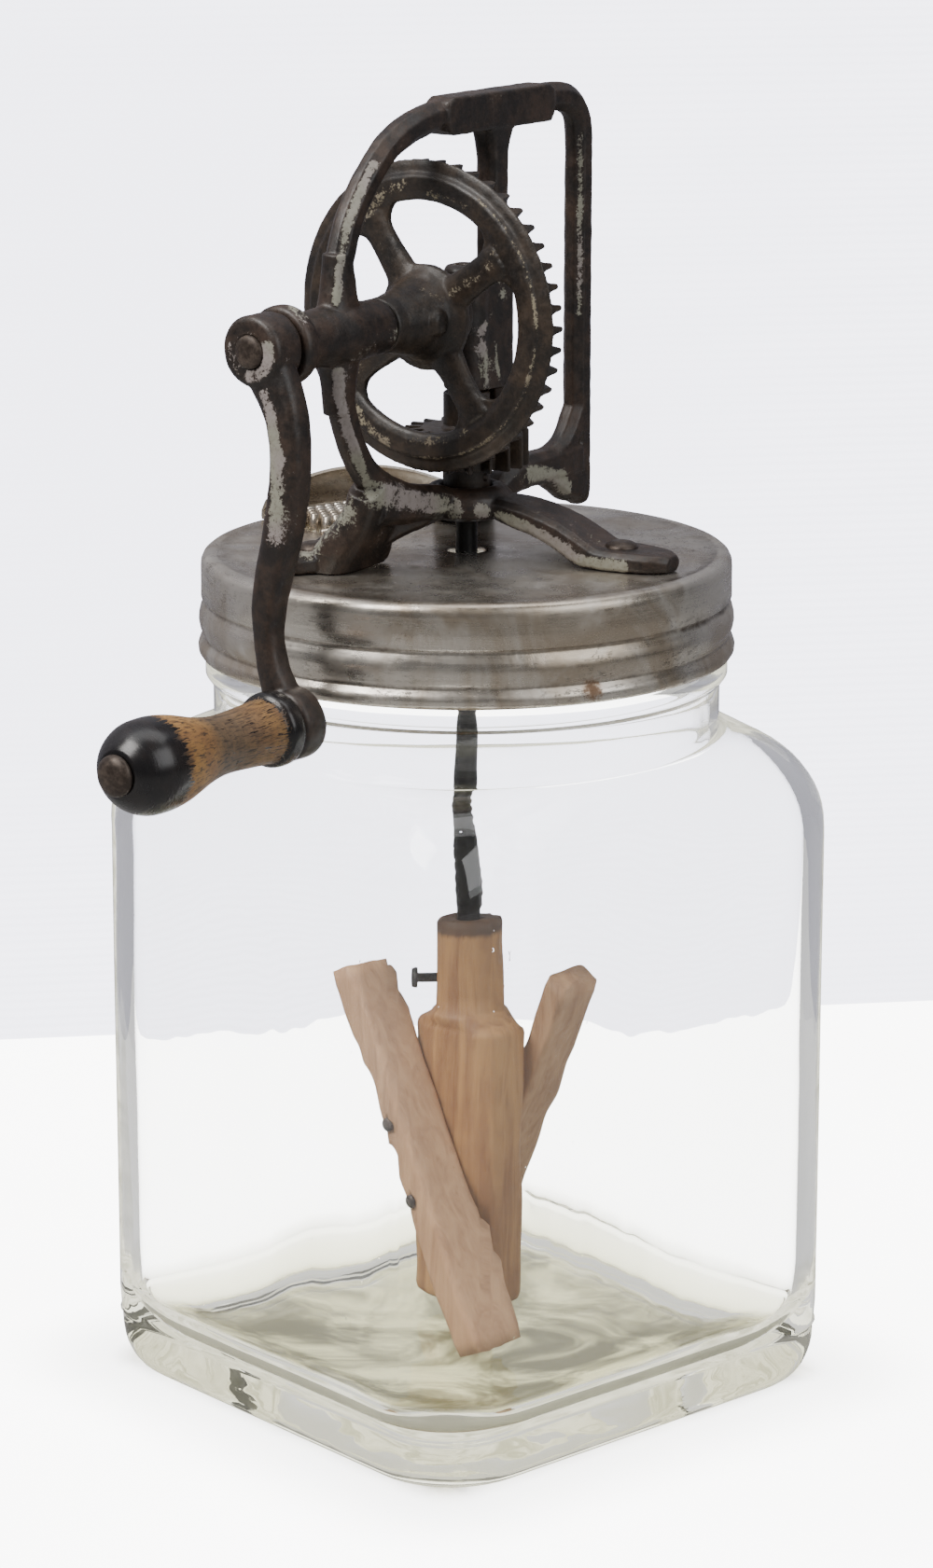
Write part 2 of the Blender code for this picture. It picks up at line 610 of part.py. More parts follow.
def build_hood():
    """The pouring hood: a tin wall that follows the lid's rim behind the strainer, on a flat foot."""
    base = FIT_GAP
    loops = []
    for step in range(HOOD_STEPS + 1):
        share = 2.0 * step / HOOD_STEPS - 1.0
        angle = HOOD_ANGLE + share * HOOD_HALF_SPAN
        out = Vector((math.cos(angle), math.sin(angle), 0))
        height = HOOD_HEIGHT * (1.0 - (1.0 - HOOD_END_SHARE) * share * share)
        face = HOOD_RADIUS - HOOD_SHEET
        lean = HOOD_LEAN * height / HOOD_HEIGHT
        section = [
            (face - HOOD_FOOT, base), (HOOD_RADIUS, base), (HOOD_RADIUS, base + height / 2),
            (HOOD_RADIUS - lean, base + height), (face - lean, base + height), (face, base + height / 2),
            (face, base + HOOD_SHEET), (face - HOOD_FOOT, base + HOOD_SHEET),
        ]
        loops.append([out * radius + Vector((0, 0, z)) for radius, z in section])
    return make_object("vent_hood", loft("vent_hood", loops), TIN, lid_frame)


# Gear frame

def frame_route():
    """Middle line of the frame's loop, from the hub up the crank side and down the far side."""
    top = FRAME_TOP - BAR_DEPTH / 2
    points = [crank_point(LEG_OUT * out, 0, HUB_TOP * level) for out, level in LOWER_LEG_SHARES]
    points += [crank_point(LEG_OUT * out, 0, top * level) for out, level in UPPER_LEG_SHARES]
    points = smooth_route(points, 2)
    centre = crank_point(TOP_CORNER - LEG_BACK, 0, top - TOP_CORNER)
    for step in range(5):
        angle = math.pi / 2 + step / 4 * math.pi / 2
        points.append(centre + TOP_CORNER * crank_point(math.cos(angle), 0, math.sin(angle)))
    points.append(crank_point(-LEG_BACK, 0, BAR_CHAMFER - BACK_LEG_END))
    return points


def build_loop():
    """The loop of the frame as one bar of constant section."""
    route = frame_route()
    section = chamfered_section(BAR_WIDTH, BAR_DEPTH, BAR_CHAMFER)
    return sweep("gear_frame", route, Vector((1, 0, 0)), [section] * len(route))


def foot_mesh(angle):
    """One arched foot, flat under its round tip, in the crank frame."""
    outward = crank_point(math.cos(angle), math.sin(angle), 0)
    across = Vector((0, 1, 0)).cross(outward)
    under = FIT_GAP - LID_DROP
    reach = FOOT_REACH
    half = FOOT_WIDTH / 2
    # Shares of the reach, of the hub's rise for the underside, of the foot's thickness and of its half width
    shares = [(0.08, 1.0, 1.0, 0.80), (0.34, 0.97, 1.0, 0.86), (0.48, 0.72, 1.02, 0.94),
              (0.61, 0.28, 1.04, 1.0), (0.70, 0.0, 0.90, 1.04), (0.75, 0.0, 0.76, 1.04),
              (0.96, 0.0, 0.76, 0.98), (1.04, 0.0, 0.76, 0.80), (1.10, 0.0, 0.72, 0.44)]
    loops = []
    for out, rise, thick, wide in shares:
        base = under + (HUB_RISE - FIT_GAP) * rise
        top = base + FOOT_THICK * thick
        edge = top - FOOT_THICK * 0.28
        ring = []
        for side, height in ((-1, base), (1, base), (1, edge), (0.62, top), (-0.62, top), (-1, edge)):
            ring.append(outward * reach * out + across * side * half * wide + Vector((0, height, 0)))
        loops.append(ring)
    return loft("foot", loops)


def brace_mesh():
    """The rib that carries the crank side leg down into its foot."""
    angle = FOOT_ANGLES[0]
    landing = FOOT_REACH * 0.60
    start = frame_route()[10]
    tip = crank_point(landing * math.cos(angle), landing * math.sin(angle), FOOT_THICK * 0.7 - LID_DROP)
    middle = (start + tip) / 2 + crank_point(0, -start.z * 0.02, 0)
    route = [start + (start - middle) * 0.2, start, middle, tip]
    sections = [chamfered_section(BAR_WIDTH * s, BAR_DEPTH * s, BAR_CHAMFER) for s in (0.7, 0.9, 1.1, 1.3)]
    return sweep("brace", route, Vector((1, 0, 0)), sections)


def arch_mesh():
    """The arch that ties the far leg to the hub."""
    level = HUB_TOP - BAR_DEPTH * 0.52
    # Shares of the leg's distance and of the bar's depth above the hub's middle
    shares = [(0.0, 0.0), (0.16, 0.0), (0.34, 0.42), (0.52, 0.72), (0.80, 0.80), (1.0, 0.95)]
    route = [crank_point(-LEG_BACK * out, 0, level + BAR_DEPTH * rise) for out, rise in shares]
    route = smooth_route(route, 2)
    section = chamfered_section(BAR_WIDTH, BAR_DEPTH * 0.92, BAR_CHAMFER)
    return sweep("arch", route, Vector((1, 0, 0)), [section] * len(route))


def build_frame():
    """The gear frame casting with its bearings, hub and three feet."""
    frame = make_object("gear_frame", build_loop(), IRON, crank_frame)
    upright = (-math.pi / 2, 0, 0)
    top = FRAME_TOP - BAR_DEPTH / 2
    panel_top = FRAME_TOP + PANEL_RISE
    panel = box_mesh("panel", (-PANEL_WIDTH / 2, panel_top - PANEL_DEPTH, PANEL_START - PANEL_LENGTH),
                     (PANEL_WIDTH / 2, panel_top, PANEL_START), BAR_CHAMFER / 2)
    add_tool(frame, panel, "UNION", crank_frame)
    boss_low = PINION_TEETH_HIGH + PINION_HUB_TOP + FIT_GAP
    column_low = boss_low + COLUMN_FLARE / 2
    column = box_mesh("column", (-BAR_WIDTH / 2, COLUMN_PLACE - COLUMN_DEPTH / 2, column_low),
                      (BAR_WIDTH / 2, COLUMN_PLACE + COLUMN_DEPTH / 2, top), BAR_CHAMFER)
    add_tool(frame, column, "UNION", crank_frame, (0, 0, 0), upright)
    plate = box_mesh("boss_plate", (-BOSS_PLATE_WIDTH / 2, 0, boss_low + COLUMN_FLARE / 4),
                     (BOSS_PLATE_WIDTH / 2, COLUMN_PLACE + COLUMN_DEPTH / 4, BOSS_PLATE_TOP), BAR_CHAMFER)
    add_tool(frame, plate, "UNION", crank_frame, (0, 0, 0), upright)
    boss = turned("rod_boss", [(BOSS_RADIUS * 0.9, boss_low), (BOSS_RADIUS, boss_low + BAR_CHAMFER / 2),
                               (BOSS_RADIUS, BOSS_TOP - BAR_CHAMFER), (BOSS_RADIUS * 0.8, BOSS_TOP)], MEDIUM)
    add_tool(frame, boss, "UNION", crank_frame, (0, 0, 0), upright)
    lip = BAR_CHAMFER / 2
    barrel = turned("crank_boss", [
        (CRANK_BOSS_RADIUS - lip, CRANK_BOSS_INNER), (CRANK_BOSS_RADIUS, CRANK_BOSS_INNER + lip),
        (CRANK_BOSS_RADIUS, CRANK_BOSS_OUTER - lip), (CRANK_BOSS_RADIUS - lip, CRANK_BOSS_OUTER)], MEDIUM)
    add_tool(frame, barrel, "UNION", crank_frame)
    hub = turned("hub", [(HUB_RADIUS * 0.92, HUB_BOTTOM), (HUB_RADIUS, HUB_BOTTOM + lip),
                         (HUB_RADIUS, HUB_TOP - lip), (HUB_RADIUS * 0.8, HUB_TOP)], MEDIUM)
    add_tool(frame, hub, "UNION", crank_frame, (0, 0, 0), upright)
    add_tool(frame, arch_mesh(), "UNION", crank_frame)
    for angle in FOOT_ANGLES:
        add_tool(frame, foot_mesh(angle), "UNION", crank_frame)
    add_tool(frame, brace_mesh(), "UNION", crank_frame)
    bore = rod_mesh("shaft_bore", SHAFT_BORE, CRANK_BOSS_INNER - CUT_OVERRUN,
                    CRANK_BOSS_OUTER + CUT_OVERRUN, MEDIUM)
    add_tool(frame, bore, "DIFFERENCE", crank_frame)
    bore = rod_mesh("rod_bore", ROD_BORE, HUB_BOTTOM - HUB_RISE, BOSS_TOP + CUT_OVERRUN, MEDIUM)
    add_tool(frame, bore, "DIFFERENCE", crank_frame, (0, 0, 0), upright)
    for angle in FOOT_ANGLES:
        place = crank_point(RIVET_PLACE * math.cos(angle), RIVET_PLACE * math.sin(angle), 0)
        hole = rod_mesh("rivet_hole", RIVET_RADIUS + FIT_GAP, -LID_DROP - CUT_OVERRUN, HUB_TOP)
        add_tool(frame, hole, "DIFFERENCE", crank_frame, place, upright)
    return frame


def build_foot_rivets():
    """The rivets that hold the feet down on the lid."""
    foot_top = FIT_GAP + FOOT_THICK * 0.76
    under = -LID_SHEET - FIT_GAP
    head = RIVET_HEAD_RADIUS
    profile = [
        (head * 0.6, under - RIVET_HEAD_RISE), (head * 0.8, under - RIVET_HEAD_RISE * 0.5),
        (head * 0.8, under),
        (RIVET_RADIUS, under), (RIVET_RADIUS, foot_top + FIT_GAP), (head, foot_top + FIT_GAP),
        (head * 0.9, foot_top + FIT_GAP + RIVET_HEAD_RISE * 0.55),
        (head * 0.45, foot_top + FIT_GAP + RIVET_HEAD_RISE),
    ]
    for name, angle in zip(FOOT_NAMES, FOOT_ANGLES):
        place = ground_point(RIVET_PLACE * math.cos(angle), RIVET_PLACE * math.sin(angle), 0)
        make_object(f"foot_rivet_{name}", turned("foot_rivet", profile, SMALL), STEEL, lid_frame, place)


# Gears

def tooth_ring(teeth, phase, root, tip):
    """Root and tip corners of every tooth on one end of a gear, in its own frame.

    root and tip are a radius, a height along the gear's axis and half of the tooth's thickness there.
    """
    rings = []
    for radius, height, half in (root, tip):
        points = []
        for tooth in range(teeth):
            angle = phase + 2.0 * math.pi * tooth / teeth
            for side in (-half / radius, half / radius):
                turn = angle + side
                points.append(Vector((radius * math.cos(turn), radius * math.sin(turn), height)))
        rings.append(points)
    return rings


def wheel_teeth_ring(radius, phase):
    """Tooth corners of the wheel at one radius, the teeth standing off its back."""
    half = TOOTH_SHARE * math.pi * radius / WHEEL_TEETH
    root_half = half + (WHEEL_ROOT_PLANE - PINION_PITCH_RADIUS) * math.tan(FLANK_ANGLE)
    tip_half = half - (PINION_PITCH_RADIUS - WHEEL_TIP_PLANE) * math.tan(FLANK_ANGLE)
    root = (radius, WHEEL_ROOT_PLANE, root_half)
    tip = (radius, WHEEL_TIP_PLANE, tip_half)
    return tooth_ring(WHEEL_TEETH, phase, root, tip)


def pinion_teeth_ring(height, phase):
    """Tooth corners of the pinion at one height, its teeth upright all round."""
    half = TOOTH_SHARE * math.pi * PINION_PITCH_RADIUS / PINION_TEETH
    root_half = half + (PINION_PITCH_RADIUS - PINION_ROOT_RADIUS) * math.tan(FLANK_ANGLE)
    tip_half = half - (PINION_TIP_RADIUS - PINION_PITCH_RADIUS) * math.tan(FLANK_ANGLE)
    root = (PINION_ROOT_RADIUS, height, root_half)
    tip = (PINION_TIP_RADIUS, height, tip_half)
    return tooth_ring(PINION_TEETH, phase, root, tip)


def gear_mesh(name, teeth, rings_front, root_large, tip_large, root_small, tip_small, rings_back, closed):
    """A toothed solid: plain rings, the toothed part, then plain rings again."""
    bm = bmesh.new()
    front = [[bm.verts.new(p) for p in ring] for ring in rings_front]
    back = [[bm.verts.new(p) for p in ring] for ring in rings_back]
    large, top_large, small, top_small = ([bm.verts.new(p) for p in ring]
                                          for ring in (root_large, tip_large, root_small, tip_small))
    for low, high in zip(front, front[1:]):
        join_rings(bm, low, high)
    join_rings(bm, large, front[-1])
    for tooth in range(teeth):
        a, b = 2 * tooth, 2 * tooth + 1
        c = (b + 1) % (2 * teeth)
        bm.faces.new((large[a], top_large[a], top_large[b], large[b]))
        bm.faces.new((small[a], top_small[a], top_small[b], small[b]))
        bm.faces.new((large[a], top_large[a], top_small[a], small[a]))
        bm.faces.new((large[b], top_large[b], top_small[b], small[b]))
        bm.faces.new((top_large[a], top_large[b], top_small[b], top_small[a]))
        bm.faces.new((large[b], large[c], small[c], small[b]))
    join_rings(bm, small, back[0])
    for low, high in zip(back, back[1:]):
        join_rings(bm, low, high)
    if closed:
        join_rings(bm, back[-1], front[0])
    else:
        bm.faces.new(front[0])
        bm.faces.new(back[-1])
    return mesh_from(bm, name)


def opening_cutter(index, front, back):
    """One opening between two spokes of the wheel, its four corners rounded alike."""
    step = 2.0 * math.pi / SPOKE_COUNT
    middle = SPOKE_TURN + (index + 0.5) * step
    outer = WHEEL_RIM_INNER - OPENING_ROUND
    inner = WHEEL_HUB_FLARE + OPENING_MARGIN + OPENING_ROUND
    edge = SPOKE_WIDTH / 2 + OPENING_ROUND
    wide = step / 2 - math.asin(edge / outer)
    narrow = step / 2 - math.asin(edge / inner)
    square = math.pi / 2 + step / 2
    arcs = [
        (outer, wide, wide, square), (inner, narrow, square, math.pi + narrow),
        (inner, -narrow, math.pi - narrow, 2.0 * math.pi - square), (outer, -wide, -square, -wide),
    ]
    points = []
    for radius, place, start, end in arcs:
        for corner in range(OPENING_CORNER_STEPS + 1):
            swing = middle + start + (end - start) * corner / OPENING_CORNER_STEPS
            points.append(Vector((radius * math.cos(middle + place) + OPENING_ROUND * math.cos(swing),
                                  radius * math.sin(middle + place) + OPENING_ROUND * math.sin(swing))))
    for rim in range(1, OPENING_RIM_STEPS):
        turn = middle - wide + 2.0 * wide * rim / OPENING_RIM_STEPS
        points.append(Vector((WHEEL_RIM_INNER * math.cos(turn), WHEEL_RIM_INNER * math.sin(turn))))
    loops = [[Vector((p.x, p.y, z)) for p in points] for z in (back - CUT_OVERRUN, front + CUT_OVERRUN)]
    return loft("wheel_opening", loops)


def build_wheel():
    """The crank driven wheel with four broad spokes, its teeth on the back of its rim."""
    half_pitch = math.pi / WHEEL_TEETH
    phase = -math.pi / 2 + half_pitch
    root_large, tip_large = wheel_teeth_ring(WHEEL_TEETH_OUTER, phase)
    root_small, tip_small = wheel_teeth_ring(WHEEL_TEETH_INNER, phase)
    turn = phase - half_pitch
    web_back = WHEEL_ROOT_PLANE
    web_front = web_back + WHEEL_WEB
    crown = web_back + WHEEL_RIM_CROWN

    def ring(radius, height):
        return circle(radius, height, WHEEL_TEETH, turn)

    rim = WHEEL_RIM_RADIUS
    band = rim - WHEEL_RIM_INNER
    front = [
        ring(SHAFT_BORE, WHEEL_HUB_FRONT),
        ring(WHEEL_HUB_NOSE - BAR_CHAMFER / 4, WHEEL_HUB_FRONT),
        ring(WHEEL_HUB_NOSE, WHEEL_HUB_FRONT - BAR_CHAMFER / 4),
        ring(WHEEL_HUB_RADIUS * 1.06, web_front + WHEEL_WEB / 2),
        ring(WHEEL_HUB_FLARE, web_front),
        ring(WHEEL_RIM_INNER, web_front),
        ring(WHEEL_RIM_INNER + band * 0.2, crown),
        ring(rim - band * 0.3, crown),
        ring(rim - band * 0.1, crown - WHEEL_RIM_CROWN * 0.4),
        ring(rim, crown - WHEEL_RIM_CROWN * 0.6),
        ring(rim, web_back),
    ]
    back = [
        ring(WHEEL_RIM_INNER, web_back),
        ring(WHEEL_HUB_RADIUS, web_back),
        ring(WHEEL_HUB_RADIUS, WHEEL_HUB_BACK),
        ring(SHAFT_BORE, WHEEL_HUB_BACK),
    ]
    mesh = gear_mesh("drive_wheel", WHEEL_TEETH, front, root_large, tip_large, root_small, tip_small,
                     back, True)
    wheel = make_object("drive_wheel", mesh, GEAR_IRON, crank_frame)
    for index in range(SPOKE_COUNT):
        add_tool(wheel, opening_cutter(index, crown, web_back), "DIFFERENCE", crank_frame)
    pin_hole = rod_mesh("pin_hole", WHEEL_PIN_RADIUS + FIT_GAP, -WHEEL_HUB_RADIUS * 2, WHEEL_HUB_RADIUS * 2)
    add_tool(wheel, pin_hole, "DIFFERENCE", crank_frame, (0, 0, WHEEL_PIN_PLACE), (0, math.pi / 2, 0))
    return wheel


def build_pinion():
    """The pinion on the rod, its upright teeth meeting the wheel's at the lowest place."""
    half_pitch = math.pi / PINION_TEETH
    phase = -math.pi / 2
    low = PINION_TEETH_LOW
    high = PINION_TEETH_HIGH
    root_large, tip_large = pinion_teeth_ring(low, phase)
    root_small, tip_small = pinion_teeth_ring(high, phase)
    turn = phase - half_pitch
    hub_low = PINION_LOW

    def ring(radius, height):
        return circle(radius, height, PINION_TEETH, turn)

    front = [ring(ROD_BORE, hub_low), ring(PINION_HUB_RADIUS, hub_low), ring(PINION_HUB_RADIUS, low)]
    back = [ring(PINION_HUB_RADIUS, high), ring(PINION_HUB_RADIUS, high + PINION_HUB_TOP),
            ring(ROD_BORE, high + PINION_HUB_TOP)]
    mesh = gear_mesh("pinion", PINION_TEETH, front, root_large, tip_large, root_small, tip_small, back, True)
    pinion = make_object("pinion", mesh, GEAR_IRON, rod_frame)
    level = (hub_low + low) / 2
    hole = rod_mesh("pin_hole", PINION_PIN_RADIUS + FIT_GAP, -PINION_HUB_RADIUS * 2, PINION_HUB_RADIUS * 2)
    add_tool(pinion, hole, "DIFFERENCE", rod_frame, (0, 0, level), (0, math.pi / 2, 0))
    pin = rod_mesh("pinion_pin", PINION_PIN_RADIUS, -PINION_HUB_RADIUS, PINION_HUB_RADIUS)
    make_object("pinion_pin", pin, STEEL, rod_frame, (0, 0, level), (0, math.pi / 2, 0))
    washer_low = HUB_TOP + FIT_GAP
    washer_high = washer_low + WASHER_THICK
    washer = turned("thrust_washer", [(ROD_BORE, washer_low), (WASHER_RADIUS, washer_low),
                                      (WASHER_RADIUS, washer_high), (ROD_BORE, washer_high)],
                    MEDIUM, closed=True)
    make_object("thrust_washer", washer, STEEL, rod_frame)
    return level


# Crank and handle

def build_shaft():
    """The crank shaft with the wheel's cross pin and the thrust collar."""
    head = SHAFT_RADIUS
    profile = [(head, SHAFT_INNER), (head, CRANK_HUB_OUTER),
               (head * 0.92, CRANK_HUB_OUTER + SHAFT_RIVET_RISE * 0.8),
               (head * 0.6, CRANK_HUB_OUTER + SHAFT_RIVET_RISE)]
    shaft = make_object("crank_shaft", turned("crank_shaft", profile, MEDIUM), STEEL, crank_frame)
    hole = rod_mesh("pin_hole", WHEEL_PIN_RADIUS + FIT_GAP, -WHEEL_HUB_RADIUS, WHEEL_HUB_RADIUS)
    add_tool(shaft, hole, "DIFFERENCE", crank_frame, (0, 0, WHEEL_PIN_PLACE), (0, math.pi / 2, 0))
    pin = rod_mesh("wheel_pin", WHEEL_PIN_RADIUS, -WHEEL_HUB_RADIUS, WHEEL_HUB_RADIUS)
    make_object("wheel_pin", pin, STEEL, crank_frame, (0, 0, WHEEL_PIN_PLACE), (0, math.pi / 2, 0))
    lip = COLLAR_THICK * 0.2
    outer = COLLAR_INNER + COLLAR_THICK
    collar = turned("shaft_collar", [
        (SHAFT_BORE, COLLAR_INNER), (COLLAR_RADIUS - lip, COLLAR_INNER), (COLLAR_RADIUS, COLLAR_INNER + lip),
        (COLLAR_RADIUS, outer - lip), (COLLAR_RADIUS - lip, outer), (SHAFT_BORE, outer)],
        MEDIUM, closed=True)
    make_object("shaft_collar", collar, IRON, crank_frame)


def build_crank():
    """The S shaped crank arm between its shaft hub and the handle's eye."""
    outer = CRANK_HUB_OUTER
    middle = outer - ARM_THICK / 2 - FIT_GAP
    points = [Vector((ARM_SIDE * side, -ARM_DROP * down, middle)) for down, side, _ in ARM_SHARES]
    sections = [chamfered_section(ARM_THICK, ARM_THICK * wide, ARM_THICK * 0.22) for _, _, wide in ARM_SHARES]
    arm = make_object("crank_arm", sweep("crank_arm", points, Vector((0, 0, 1)), sections), IRON, crank_frame)
    lip = CRANK_HUB_THICK * 0.1
    hub = turned("crank_hub", [
        (CRANK_HUB_RADIUS - lip, CRANK_HUB_INNER), (CRANK_HUB_RADIUS, CRANK_HUB_INNER + lip),
        (CRANK_HUB_RADIUS, outer - lip), (CRANK_HUB_RADIUS - lip, outer)], MEDIUM)
    add_tool(arm, hub, "UNION", crank_frame)
    eye_inner = middle - ARM_EYE_THICK / 2
    eye_outer = middle + ARM_EYE_THICK / 2
    eye = turned("crank_eye", [
        (ARM_EYE_RADIUS - lip, eye_inner), (ARM_EYE_RADIUS, eye_inner + lip * 2),
        (ARM_EYE_RADIUS, eye_outer - lip), (ARM_EYE_RADIUS - lip, eye_outer)], MEDIUM)
    place = (ARM_SIDE, -ARM_DROP, 0)
    add_tool(arm, eye, "UNION", crank_frame, place)
    bore = rod_mesh("shaft_bore", SHAFT_BORE, CRANK_HUB_INNER - CUT_OVERRUN, outer + CUT_OVERRUN, MEDIUM)
    add_tool(arm, bore, "DIFFERENCE", crank_frame)
    bore = rod_mesh("spindle_bore", SPINDLE_RADIUS + FIT_GAP, eye_inner - CUT_OVERRUN,
                    eye_outer + CUT_OVERRUN)
    add_tool(arm, bore, "DIFFERENCE", crank_frame, place)
    return eye_inner


def build_handle(eye_inner):
    """The turned wooden grip on its riveted spindle."""
    grip_frame = make_empty("grip_spin_frame", (ARM_SIDE, -ARM_DROP, 0), parent=crank_frame)
    bore = SPINDLE_RADIUS + GRIP_BORE_GAP
    outside = [(GRIP_RADIUS * wide, GRIP_INNER + GRIP_LENGTH * along) for along, wide in GRIP_SHARES]
    profile = [(bore, GRIP_INNER)] + outside + [(bore, GRIP_INNER + GRIP_LENGTH)]
    make_object("handle_grip", turned("handle_grip", profile, MEDIUM, closed=True), GRIP_WOOD, grip_frame)
    head = GRIP_INNER + GRIP_LENGTH + FIT_GAP
    profile = [
        (SPINDLE_RADIUS, eye_inner), (SPINDLE_RADIUS, head), (SPINDLE_HEAD_RADIUS, head),
        (SPINDLE_HEAD_RADIUS * 0.92, head + SPINDLE_HEAD_RISE * 0.45),
        (SPINDLE_HEAD_RADIUS * 0.68, head + SPINDLE_HEAD_RISE * 0.82),
        (SPINDLE_HEAD_RADIUS * 0.3, head + SPINDLE_HEAD_RISE),
    ]
    make_object("handle_spindle", turned("handle_spindle", profile, SMALL), STEEL, crank_frame,
                (ARM_SIDE, -ARM_DROP, 0))


# Dasher

def build_rod(pin_level):
    """The vertical rod from the upper bearing down into the dasher's socket."""
    bottom = -DASHER_TOP - DASHER_SOCKET + 2 * FIT_GAP
    tip = ROD_RADIUS * 0.25
    profile = [(ROD_RADIUS - tip, bottom), (ROD_RADIUS, bottom + tip), (ROD_RADIUS, ROD_TOP - tip),
               (ROD_RADIUS - tip, ROD_TOP)]
    rod = make_object("dasher_rod", turned("dasher_rod", profile, MEDIUM), ROD_STEEL, rod_frame)
    hole = rod_mesh("pin_hole", PINION_PIN_RADIUS + FIT_GAP, -PINION_HUB_RADIUS, PINION_HUB_RADIUS)
    add_tool(rod, hole, "DIFFERENCE", rod_frame, (0, 0, pin_level), (0, math.pi / 2, 0))


def nail_places():
    """Where the nails of a blade cross its middle line."""
    return [-NAIL_STEP, NAIL_STEP]


def screw_swing():
    """Angle from the front blade's side of the hub to the set screw, so that its head clears the blade."""
    above = BLADE_MIDDLE - DASHER_TOP - SCREW_DROP
    edge = above * math.tan(BLADE_TILT) - BLADE_THICK / 2 / math.cos(BLADE_TILT)
    reach = ROD_BORE + SCREW_LENGTH + SCREW_HEAD_THICK
    corner = math.hypot(reach, SCREW_HEAD_RADIUS)
    return math.asin(min(1.0, (edge - SCREW_BLADE_GAP) / corner)) - math.atan2(SCREW_HEAD_RADIUS, reach)


def build_dasher():
    """The wooden dasher: a turned neck over a flat sided body, with two slanted blades nailed to it."""
    dasher_frame = make_empty("dasher_frame", (0, 0, 0), (0, 0, DASHER_TURN), rod_frame)
    neck_low = -DASHER_TOP - DASHER_NECK
    body_top = neck_low - DASHER_SHOULDER
    body_low = body_top - DASHER_BODY
    steps = 4
    sides = 4 * (steps + 1)
    body = rounded_rectangle(DASHER_BODY_THICK, DASHER_BODY_WIDE, DASHER_BODY_ROUND, steps)

    def ring(height, share):
        return [Vector((p.x * share, p.y * share, height)) for p in body]

    def round_ring(radius, height):
        turn = math.pi / 4 - (sides / 8 - 0.5) * 2 * math.pi / sides
        return circle(radius, height, sides, turn)

    edge = DASHER_BODY_ROUND / 2
    loops = [
        ring(body_low, 0.86), ring(body_low + edge, 1.0), ring(body_top - edge, 1.0), ring(body_top, 0.94),
        round_ring(DASHER_NECK_RADIUS * 1.12, neck_low),
        round_ring(DASHER_NECK_RADIUS, neck_low + DASHER_SHOULDER / 2),
        round_ring(DASHER_NECK_RADIUS, -DASHER_TOP - edge / 2),
        round_ring(DASHER_NECK_RADIUS - edge / 2, -DASHER_TOP),
    ]
    hub = make_object("dasher_hub", loft("dasher_hub", loops), HUB_WOOD, dasher_frame)
    socket = rod_mesh("socket", ROD_BORE, -DASHER_TOP - DASHER_SOCKET, -DASHER_TOP + CUT_OVERRUN)
    add_tool(hub, socket, "DIFFERENCE", dasher_frame)
    screw_turn = (0, math.pi / 2, -screw_swing())
    screw_place = (0, 0, -DASHER_TOP - SCREW_DROP)
    screw_hole = rod_mesh("screw_hole", SCREW_RADIUS + FIT_GAP, ROD_BORE / 2,
                          DASHER_NECK_RADIUS + CUT_OVERRUN)
    add_tool(hub, screw_hole, "DIFFERENCE", dasher_frame, screw_place, screw_turn)
    start = ROD_BORE
    seat = start + SCREW_LENGTH
    screw = [
        (SCREW_RADIUS, start), (SCREW_RADIUS, seat), (SCREW_HEAD_RADIUS, seat),
        (SCREW_HEAD_RADIUS, seat + SCREW_HEAD_THICK),
    ]
    make_object("set_screw", turned("set_screw", screw, SMALL), STEEL, dasher_frame, screw_place, screw_turn)
    for side, name in ((0, "front"), (1, "back")):
        build_blade(name, dasher_frame, side * math.pi, hub)


def build_blade(name, dasher_frame, turn, hub):
    """One slanted blade with its two nails, on the hub's flat side that faces turn."""
    face = DASHER_BODY_THICK / 2 + FIT_GAP
    blade_frame = make_empty(f"blade_frame_{name}", (0, 0, -BLADE_MIDDLE), (0, 0, turn), dasher_frame)
    outline = chamfered_section(BLADE_DEPTH, BLADE_THICK, BLADE_CHAMFER)
    half = BLADE_LENGTH / 2
    edge = half - BLADE_CHAMFER
    loops = []
    for height, share in ((-half, 0.9), (-edge, 1.0), (edge, 1.0), (half, 0.9)):
        loops.append([Vector((face + BLADE_DEPTH / 2 + p.x * share, p.y * share, height)) for p in outline])
    tilt = (BLADE_TILT, 0, 0)
    blade = make_object(f"blade_{name}", loft("blade", loops), BLADE_WOOD, blade_frame, (0, 0, 0), tilt)
    outer = face + BLADE_DEPTH
    shank = NAIL_RADIUS
    profile = [(shank * 0.5, face - NAIL_BITE), (shank, face - NAIL_BITE + shank), (shank, outer + FIT_GAP),
               (NAIL_HEAD_RADIUS, outer + FIT_GAP), (NAIL_HEAD_RADIUS, outer + FIT_GAP + NAIL_HEAD_THICK)]
    lean = Matrix.Rotation(BLADE_TILT, 3, "X")
    for number, place in enumerate(nail_places(), 1):
        along = lean @ Vector((0, 0, place))
        hole = rod_mesh("nail_hole", shank + FIT_GAP, face - NAIL_BITE - FIT_GAP, outer + CUT_OVERRUN)
        add_tool(blade, hole, "DIFFERENCE", blade_frame, along, (0, math.pi / 2, 0))
        hole = rod_mesh("nail_hole", shank + FIT_GAP, face - NAIL_BITE - FIT_GAP, outer + CUT_OVERRUN)
        add_tool(hub, hole, "DIFFERENCE", blade_frame, along, (0, math.pi / 2, 0))
        make_object(f"blade_nail_{name}_{number}", turned("blade_nail", profile, SMALL), STEEL, blade_frame,
                    along, (0, math.pi / 2, 0))


